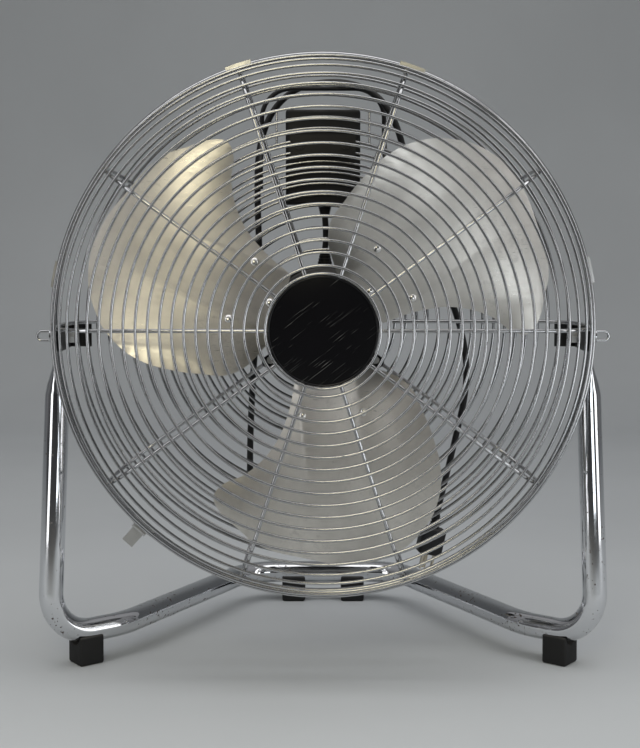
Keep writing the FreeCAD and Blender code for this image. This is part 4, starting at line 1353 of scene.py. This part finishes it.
@dataclass
class SwitchBox(Assembly):
    """The box at the back, its cover, its knob and the glands below it."""

    half_width: float = 0.0395
    bottom: float = 0.1236
    top: float = 0.224
    front_y: float = 0.0241
    depth: float = 0.042
    case_edge: float = 0.0035
    cover: float = 0.0035
    cover_edge: float = 0.0012
    knob_r: float = 0.019
    knob_length: float = 0.017
    knob_gap: float = 0.0004
    knob_sides: int = 64
    skirt: float = 0.0051
    skirt_edge: float = 0.0036
    skirt_slope: float = 0.0016
    grip_half: Pair = (0.0055, 0.0172)
    grip_foot: float = 0.002
    grip_edge: float = 0.0022
    mark_half: float = 0.0008
    mark_sunk: float = 0.0004
    mark_proud: float = 0.00025
    mark_span: Pair = (0.0045, 0.0145)
    mark_edge: float = 0.0001
    lead: Pair = (0.002, 0.048)
    cord: Pair = (0.028, 0.054)
    lead_route: tuple[Pair, ...] = ((0.0, 0.0750), (0.0012, 0.0860), (0.0008, 0.1010), (0.0, 0.1121))
    lead_bends: Pair = (0.04, 0.06)
    lead_r: float = 0.00325
    lead_sides: int = 16
    lead_steps: int = 6
    gland_r: float = 0.0075
    gland_neck: float = 0.0046
    lead_gland: float = 0.012
    cord_gland: float = 0.022
    motor_gland: float = 0.0204
    motor_gland_r: float = 0.0088
    motor_gland_foot: float = 0.0551
    gland_sides: int = 28
    ribs: int = 5
    rib_start: float = 0.12
    rib_span: float = 0.8
    rib_share: float = 0.6
    rib_depth: float = 0.0009
    rib_slope: float = 0.0002
    tip_start: float = 0.94
    tip_edge: float = 0.0004

    def gland(self, name: str, node: str, place: Vector, length: float, wide: float, heading: Vector) -> None:
        """A ribbed, tapered strain relief.

        Args:
            name: Name of the piece.
            node: The node that it replaces.
            place: Middle of its broad end.
            length: Its length.
            wide: Radius at the broad end.
            heading: The way that it narrows.
        """
        narrow = self.gland_neck
        profile = [(0.0, 0.0), (wide, 0.0)]
        for rib in range(self.ribs):
            low, high, after = (
                length * (self.rib_start + self.rib_span * (rib + share) / self.ribs)
                for share in (0.0, self.rib_share, 1.0)
            )
            radius = wide + (narrow - wide) * low / length
            groove = radius - self.rib_depth
            profile += [(radius, low), (radius, high)]
            profile += [(groove, high + self.rib_slope), (groove, after - self.rib_slope)]
        profile += [(narrow, length * self.tip_start), (narrow - self.tip_edge, length), (0.0, length)]
        relief = Bench.lathe(name, profile, self.gland_sides, place, heading, 30.0)
        self.dress(relief, CORD_JACKET, Body.HEAD, node)

    def knob(self, seat: Vector) -> None:
        """The dial with its grip and its white mark.

        Args:
            seat: Middle of the dial's foot.
        """
        rim, top = self.knob_r, self.skirt
        base = [(0.0, 0.0), (rim, 0.0), (rim, self.skirt_edge), (rim - self.skirt_slope, top), (0.0, top)]
        dial = Bench.lathe("speed_dial", base, self.knob_sides, seat, BACK)
        wide, tall = self.grip_half
        low = seat + Vector((-wide, self.grip_foot, -tall))
        high = seat + Vector((wide, self.knob_length, tall))
        grip = Bench.block("speed_dial_grip", low, high, self.grip_edge)
        self.dress(Bench.join(dial, grip), BLACK_MOULDED, Body.KNOB, "speed_knob")
        tip = seat + Vector((0.0, self.knob_length, 0.0))
        low = tip + Vector((-self.mark_half, -self.mark_sunk, self.mark_span[0]))
        high = tip + Vector((self.mark_half, self.mark_proud, self.mark_span[1]))
        self.dress(Bench.block("speed_dial_mark", low, high, self.mark_edge, 2), MARK_WHITE, Body.KNOB)

    def build(self) -> None:
        """Box, cover, knob, glands and the motor's lead."""
        half = self.half_width
        rear_y = self.front_y + self.depth
        cover_y = rear_y + self.cover
        low, high = at(-half, self.front_y, self.bottom), at(half, rear_y, self.top)
        case = Bench.block("switch_case", low, high, self.case_edge)
        self.dress(case, BLACK_MOULDED, Body.HEAD, "switch_box")
        low, high = at(-half, rear_y, self.bottom), at(half, cover_y, self.top)
        lid = Bench.block("switch_case_lid", low, high, self.cover_edge, 3)
        self.dress(lid, BLACK_MOULDED, Body.HEAD, "switch_box_cover")
        self.knob(at(0.0, cover_y + self.knob_gap, (self.bottom + self.top) / 2.0))
        x, y = self.lead
        lead, cord = at(x, y, self.bottom), at(*self.cord, self.bottom)
        foot = at(x, y, self.motor_gland_foot)
        self.gland("lead_relief", "lead_gland", lead, self.lead_gland, self.gland_r, DOWN)
        self.gland("cord_relief", "cord_gland", cord, self.cord_gland, self.gland_r, DOWN)
        self.gland("motor_relief", "motor_gland", foot, self.motor_gland, self.motor_gland_r, UP)
        points = tuple(at(x + aside, y, height) for aside, height in self.lead_route)
        rod = BentRod(points, self.lead_bends, self.lead_r, self.lead_sides, self.lead_steps)
        self.dress(rod.make("motor_lead_tube"), CORD_JACKET, Body.HEAD, "motor_lead")


@dataclass
class PowerCord(Assembly):
    """The mains cord that hangs over its wire hanger, with its plug."""

    diameter: float = 0.007
    route: tuple[Point, ...] = (
        (0.028, 0.054, 0.1016), (0.028, 0.054, 0.0796), (0.0285, 0.07, 0.056), (0.03, 0.088, 0.024),
        (0.031, 0.094, -0.022), (0.028, 0.09, -0.082), (0.02, 0.082, -0.138), (0.011, 0.078, -0.174),
        (0.003, 0.077, -0.198), (-0.003, 0.0765, -0.218), (-0.018, 0.076, -0.233), (-0.039, 0.076, -0.238),
        (-0.06, 0.0765, -0.231), (-0.075, 0.076, -0.215), (-0.08, 0.076, -0.194), (-0.081, 0.0755, -0.158),
        (-0.079, 0.074, -0.098), (-0.074, 0.073, -0.02), (-0.069, 0.073, 0.06), (-0.072, 0.075, 0.13),
        (-0.071, 0.076, 0.184), (-0.058, 0.076, 0.224), (-0.034, 0.071, 0.248), (-0.008, 0.065, 0.256),
        (0.026, 0.056, 0.256), (0.056, 0.049, 0.244), (0.077, 0.045, 0.216), (0.09, 0.048, 0.17),
        (0.108, 0.058, 0.104), (0.13, 0.067, 0.046), (0.149, 0.073, -0.002), (0.158, 0.076, -0.042),
        (0.158, 0.077, -0.082), (0.149, 0.077, -0.122), (0.14, 0.076, -0.16), (0.132, 0.0765, -0.193),
        (0.126, 0.076, -0.219),
    )
    length: float = 1.476
    plug_size: Point = (0.027, 0.020, 0.030)
    plug_edge: float = 0.0038
    neck: float = 0.014
    neck_r: float = 0.0042
    neck_sunk: float = 0.004
    neck_root: float = 0.0062
    neck_sides: int = 28
    ribs: int = 4
    rib_start: float = 0.0014
    rib_pitch: float = 0.0032
    rib_r: float = 0.0044
    rib_growth: float = 0.0004
    rib_depth: float = 0.0008
    rib_ends: Point = (0.0019, 0.0021, 0.0030)
    hanger: tuple[Point, ...] = (
        (0.066, 0.02654, 0.140), (0.066, 0.02654, 0.165), (0.066, 0.060, 0.200), (0.066, 0.060, 0.249),
    )
    hanger_bends: Point = (0.018, 0.018, 0.032)
    hanger_r: float = 0.0025
    hanger_sides: int = 18
    hanger_steps: int = 10

    def jacket(self) -> Piece:
        """The cord as one smooth round curve.

        Returns:
            The cord.
        """
        bpy.ops.object.select_all(action="DESELECT")
        bpy.ops.curve.primitive_nurbs_path_add()
        cord = Bench.named("mains_cord")
        cord.data.splines.clear()
        spline = cord.data.splines.new("NURBS")
        spline.points.add(len(self.route) - 1)
        for knot, place in zip(spline.points, self.route):
            knot.co = (*at(*place), 1.0)
        spline.order_u = 3
        spline.use_endpoint_u = True
        spline.resolution_u = 8
        cord.data.dimensions = "3D"
        cord.data.bevel_depth = self.diameter / 2.0
        cord.data.bevel_resolution = 4
        cord.data.use_fill_caps = True
        return cord

    def plug(self) -> Piece:
        """The moulded plug with its ribbed neck.

        Returns:
            The plug.
        """
        end = at(*self.route[-1])
        heading = (end - at(*self.route[-2])).normalized()
        half = Vector(self.plug_size) / 2.0
        low, high = Vector((-half.x, -half.y, self.neck)), Vector((half.x, half.y, self.neck + 2.0 * half.z))
        body = Bench.block("cord_plug", low, high, self.plug_edge, 5)
        profile = [(0.0, 0.0), (self.neck_r, 0.0)]
        top, slope, after = self.rib_ends
        for rib in range(self.ribs):
            start = self.rib_start + rib * self.rib_pitch
            radius = self.rib_r + self.rib_growth * rib
            groove = radius - self.rib_depth
            profile += [(radius, start), (radius, start + top)]
            profile += [(groove, start + slope), (groove, start + after)]
        root, sunk = self.neck_root, self.neck + self.neck_sunk
        profile += [(root, self.neck), (root, sunk), (0.0, sunk)]
        neck = Bench.lathe("cord_plug_neck", profile, self.neck_sides, ORIGIN, UP, 30.0)
        return Bench.place(Bench.join(body, neck), end, heading)

    def build(self) -> None:
        """Cord, plug and hanger."""
        cord = self.dress(self.jacket(), CORD_JACKET, Body.HEAD, "power_cord")
        plug = self.dress(self.plug(), CORD_JACKET, Body.HEAD, "plug_body")
        line = mirrored([at(*place) for place in self.hanger])
        bends = self.hanger_bends + self.hanger_bends[::-1]
        hanger = BentRod(line, bends, self.hanger_r, self.hanger_sides, self.hanger_steps)
        self.dress(hanger.make("cord_hanger_wire"), BLACK_PAINT, Body.HEAD, "cord_hanger")


class Hardware(Assembly):
    """The pieces whose solids already have their true shape, which only get a finish."""

    finishes: ClassVar[dict[Finish, tuple[str, ...]]] = {
        ZINC: (
            "rim_clips", "latch_clip", "latch_pin", "latch_lever", "foot_screws", "motor_bolts", "cover_screws",
            "badge_screws", "badge_retainer", "pivot_nuts", "hub_set_screw", "motor_shaft", "front_bearing",
            "rear_bearing",
        ),
        CHROME_WIRE: ("left_tilt_screw", "right_tilt_screw", "box_guide_wires"),
        BLACK_PAINT: (
            "motor_plate", "left_pivot_bracket", "right_pivot_bracket", "blade_spider", "box_strap",
            "strap_screws",
        ),
        BLACK_MOULDED: ("rotary_switch", "tilt_washers"),
        BRASS: ("plug_prongs",),
        IRON: ("stator_core", "rotor_core"),
        COPPER: ("stator_windings",),
    }

    def build(self) -> None:
        """Give each node its finish."""
        for finish, names in self.finishes.items():
            for name in names:
                self.coat(frame["nodes"][name], finish)
                LOG.info("%s keeps its solid", name)


@dataclass(frozen=True)
class Lamp:
    """A soft rectangular lamp that faces a point, with the brightness of its face."""

    name: str
    place: Point
    target: Point
    size: Pair
    glow: float
    colour: Point = (1.0, 1.0, 1.0)

    def hang(self) -> None:
        """Put the lamp in the studio."""
        heading = (Vector(self.target) - Vector(self.place)).to_track_quat("-Z", "Y").to_euler()
        bpy.ops.object.light_add(type="AREA", location=self.place, rotation=heading)
        light = bpy.context.active_object
        light.name = self.name
        light.data.shape = "RECTANGLE"
        light.data.size, light.data.size_y = self.size
        light.data.energy = self.glow * math.pi * self.size[0] * self.size[1]
        light.data.color = self.colour


@dataclass
class Studio:
    """Camera, lamps, world, floor and backdrop."""

    camera_place: Point = (0.0, -1.53314, 0.4656)
    pitch_down: float = 2.91
    lens: float = 78.75
    sensor: float = 36.0
    shift: Pair = (-0.0047, -0.1269)
    floor_colour: Point = (0.65, 0.675, 0.69)
    cloud_share: float = 0.94
    paper_roughness: float = 0.85
    shade_colour: Point = (0.13, 0.132, 0.135)
    shade_from: float = -0.42
    shade_to: float = -1.15
    seen_colour: Point = (0.22, 0.226, 0.23)
    front_colour: Point = (0.025, 0.025, 0.027)
    back_colour: Point = (0.20, 0.20, 0.205)
    sky_colour: Point = (0.30, 0.30, 0.305)
    floor_half: float = 9.0
    floor_front: float = -8.0
    wall_y: float = 1.6
    wall_rise: float = 2.2
    sweep_r: float = 0.8
    sweep_steps: int = 24
    lamps: tuple[Lamp, ...] = (
        Lamp("left_strip", (-1.00, -0.92, 0.86), (0.0, 0.0, 0.86), (0.40, 1.7), 2.0),
        Lamp("right_strip", (1.13, -0.65, 0.86), (0.0, 0.0, 0.86), (0.44, 1.7), 2.0),
        Lamp("top_softbox", (0.0, -0.40, 2.25), (0.0, 0.0, 0.35), (2.8, 1.3), 1.4),
        Lamp("warm_softbox", (-0.18, -1.65, 0.96), (-0.12, -0.12, 0.45), (0.42, 0.60), 4.6, (1.0, 0.92, 0.66)),
        Lamp("low_fill", (0.50, -1.00, 0.21), (0.16, -0.12, 0.42), (0.36, 0.26), 3.0, (0.92, 0.97, 1.0)),
    )

    def camera(self) -> None:
        """The photograph's viewpoint."""
        tilt = math.radians(90.0 - self.pitch_down)
        bpy.ops.object.camera_add(location=self.camera_place, rotation=(tilt, 0.0, 0.0))
        camera = bpy.context.active_object
        camera.data.sensor_fit = "HORIZONTAL"
        camera.data.sensor_width = self.sensor
        camera.data.lens = self.lens
        camera.data.shift_x, camera.data.shift_y = self.shift
        bpy.context.scene.camera = camera

    def facing(self, piece: Piece, heading: Vector) -> None:
        """Turn a sheet's faces to a side, and leave edit mode.

        Args:
            piece: The sheet, in edit mode.
            heading: The side that its faces look to.
        """
        bpy.ops.mesh.select_all(action="SELECT")
        bpy.ops.mesh.normals_make_consistent(inside=False)
        bpy.ops.object.mode_set(mode="OBJECT")
        if piece.data.polygons[-1].normal.dot(heading) < 0.0:
            bpy.ops.object.mode_set(mode="EDIT")
            bpy.ops.mesh.flip_normals()
            bpy.ops.object.mode_set(mode="OBJECT")
        Bench.pick(piece)
        bpy.ops.object.shade_smooth()

    def floor(self) -> None:
        """A floor that sweeps up into a backdrop."""
        left, right, wall_y = -self.floor_half, self.floor_half, self.wall_y
        sweep = Bench.open("studio_sweep")
        Bench.line([Vector((left, self.floor_front, 0.0)), Vector((left, wall_y, 0.0))])
        Bench.run(Vector((right - left, 0.0, 0.0)))
        self.facing(sweep, UP)
        wall = Bench.open("studio_wall")
        Bench.line([Vector((left, wall_y, 0.0)), Vector((right, wall_y, 0.0))])
        Bench.turn(Vector((0.0, wall_y, self.sweep_r)), RIGHT, math.pi / 2.0, self.sweep_steps)
        Bench.run(UP * self.wall_rise)
        self.facing(wall, FRONT)
        material = self.paper()
        for piece in (sweep, wall):
            piece.data.materials.append(material)

    def paper(self) -> bpy.types.Material:
        """Matt grey paper, pale round the fan, darker in front of it, and clear from its back.

        Returns:
            The material.
        """
        material = bpy.data.materials.new("studio_grey")
        material.use_nodes = True
        nodes = Nodes(material.node_tree)
        shader = material.node_tree.nodes["Principled BSDF"]
        shader.inputs["Roughness"].default_value = self.paper_roughness
        coords = nodes.coords()
        cloud = nodes.ranged(nodes.noise(coords, scale=2.5, detail=4.0), 0.3, 0.7)
        darker = tuple(self.cloud_share * channel for channel in self.floor_colour)
        near = nodes.ranged(nodes.axis(coords, "Y"), self.shade_to, self.shade_from)
        pale = nodes.mix(cloud, darker, self.floor_colour)
        nodes.feed(shader.inputs["Base Color"], nodes.mix(near, self.shade_colour, pale))
        behind = nodes.add("ShaderNodeNewGeometry").outputs["Backfacing"]
        clear = nodes.add("ShaderNodeBsdfTransparent").outputs[0]
        blend = nodes.take("ShaderNodeMixShader", 0, {0: behind, 1: shader.outputs[0], 2: clear})
        nodes.feed(material.node_tree.nodes["Material Output"].inputs["Surface"], blend)
        return material

    def world(self) -> None:
        """A room that is dim in front of the fan, and brighter above and behind it."""
        world = bpy.data.worlds.new("studio_room")
        world.use_nodes = True
        bpy.context.scene.world = world
        nodes = Nodes(world.node_tree)
        around = nodes.add("ShaderNodeTexCoord").outputs["Generated"]
        depth = nodes.ranged(nodes.axis(around, "Y"), -0.75, 0.4)
        height = nodes.ranged(nodes.axis(around, "Z"), 0.15, 0.9)
        sky = nodes.mix(height, nodes.mix(depth, self.front_colour, self.back_colour), self.sky_colour)
        seen = nodes.add("ShaderNodeLightPath").outputs["Is Camera Ray"]
        shown = nodes.mix(seen, sky, self.seen_colour)
        nodes.feed(world.node_tree.nodes["Background"].inputs["Color"], shown)

    def build(self) -> None:
        """Everything that isn't the fan."""
        bpy.context.scene.view_settings.view_transform = "Standard"
        self.camera()
        self.world()
        for lamp in self.lamps:
            lamp.hang()
        self.floor()


def main() -> None:
    """Build the studio and every sub-assembly."""
    logging.basicConfig(level=logging.INFO, format="%(name)s %(message)s")
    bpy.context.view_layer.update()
    Studio().build()
    for kind in (PowerCord, WireCage, TubeStand, BladeSet, FrontBadge, Motor, SwitchBox, Hardware):
        kind().build()


if __name__ == "__main__":
    main()
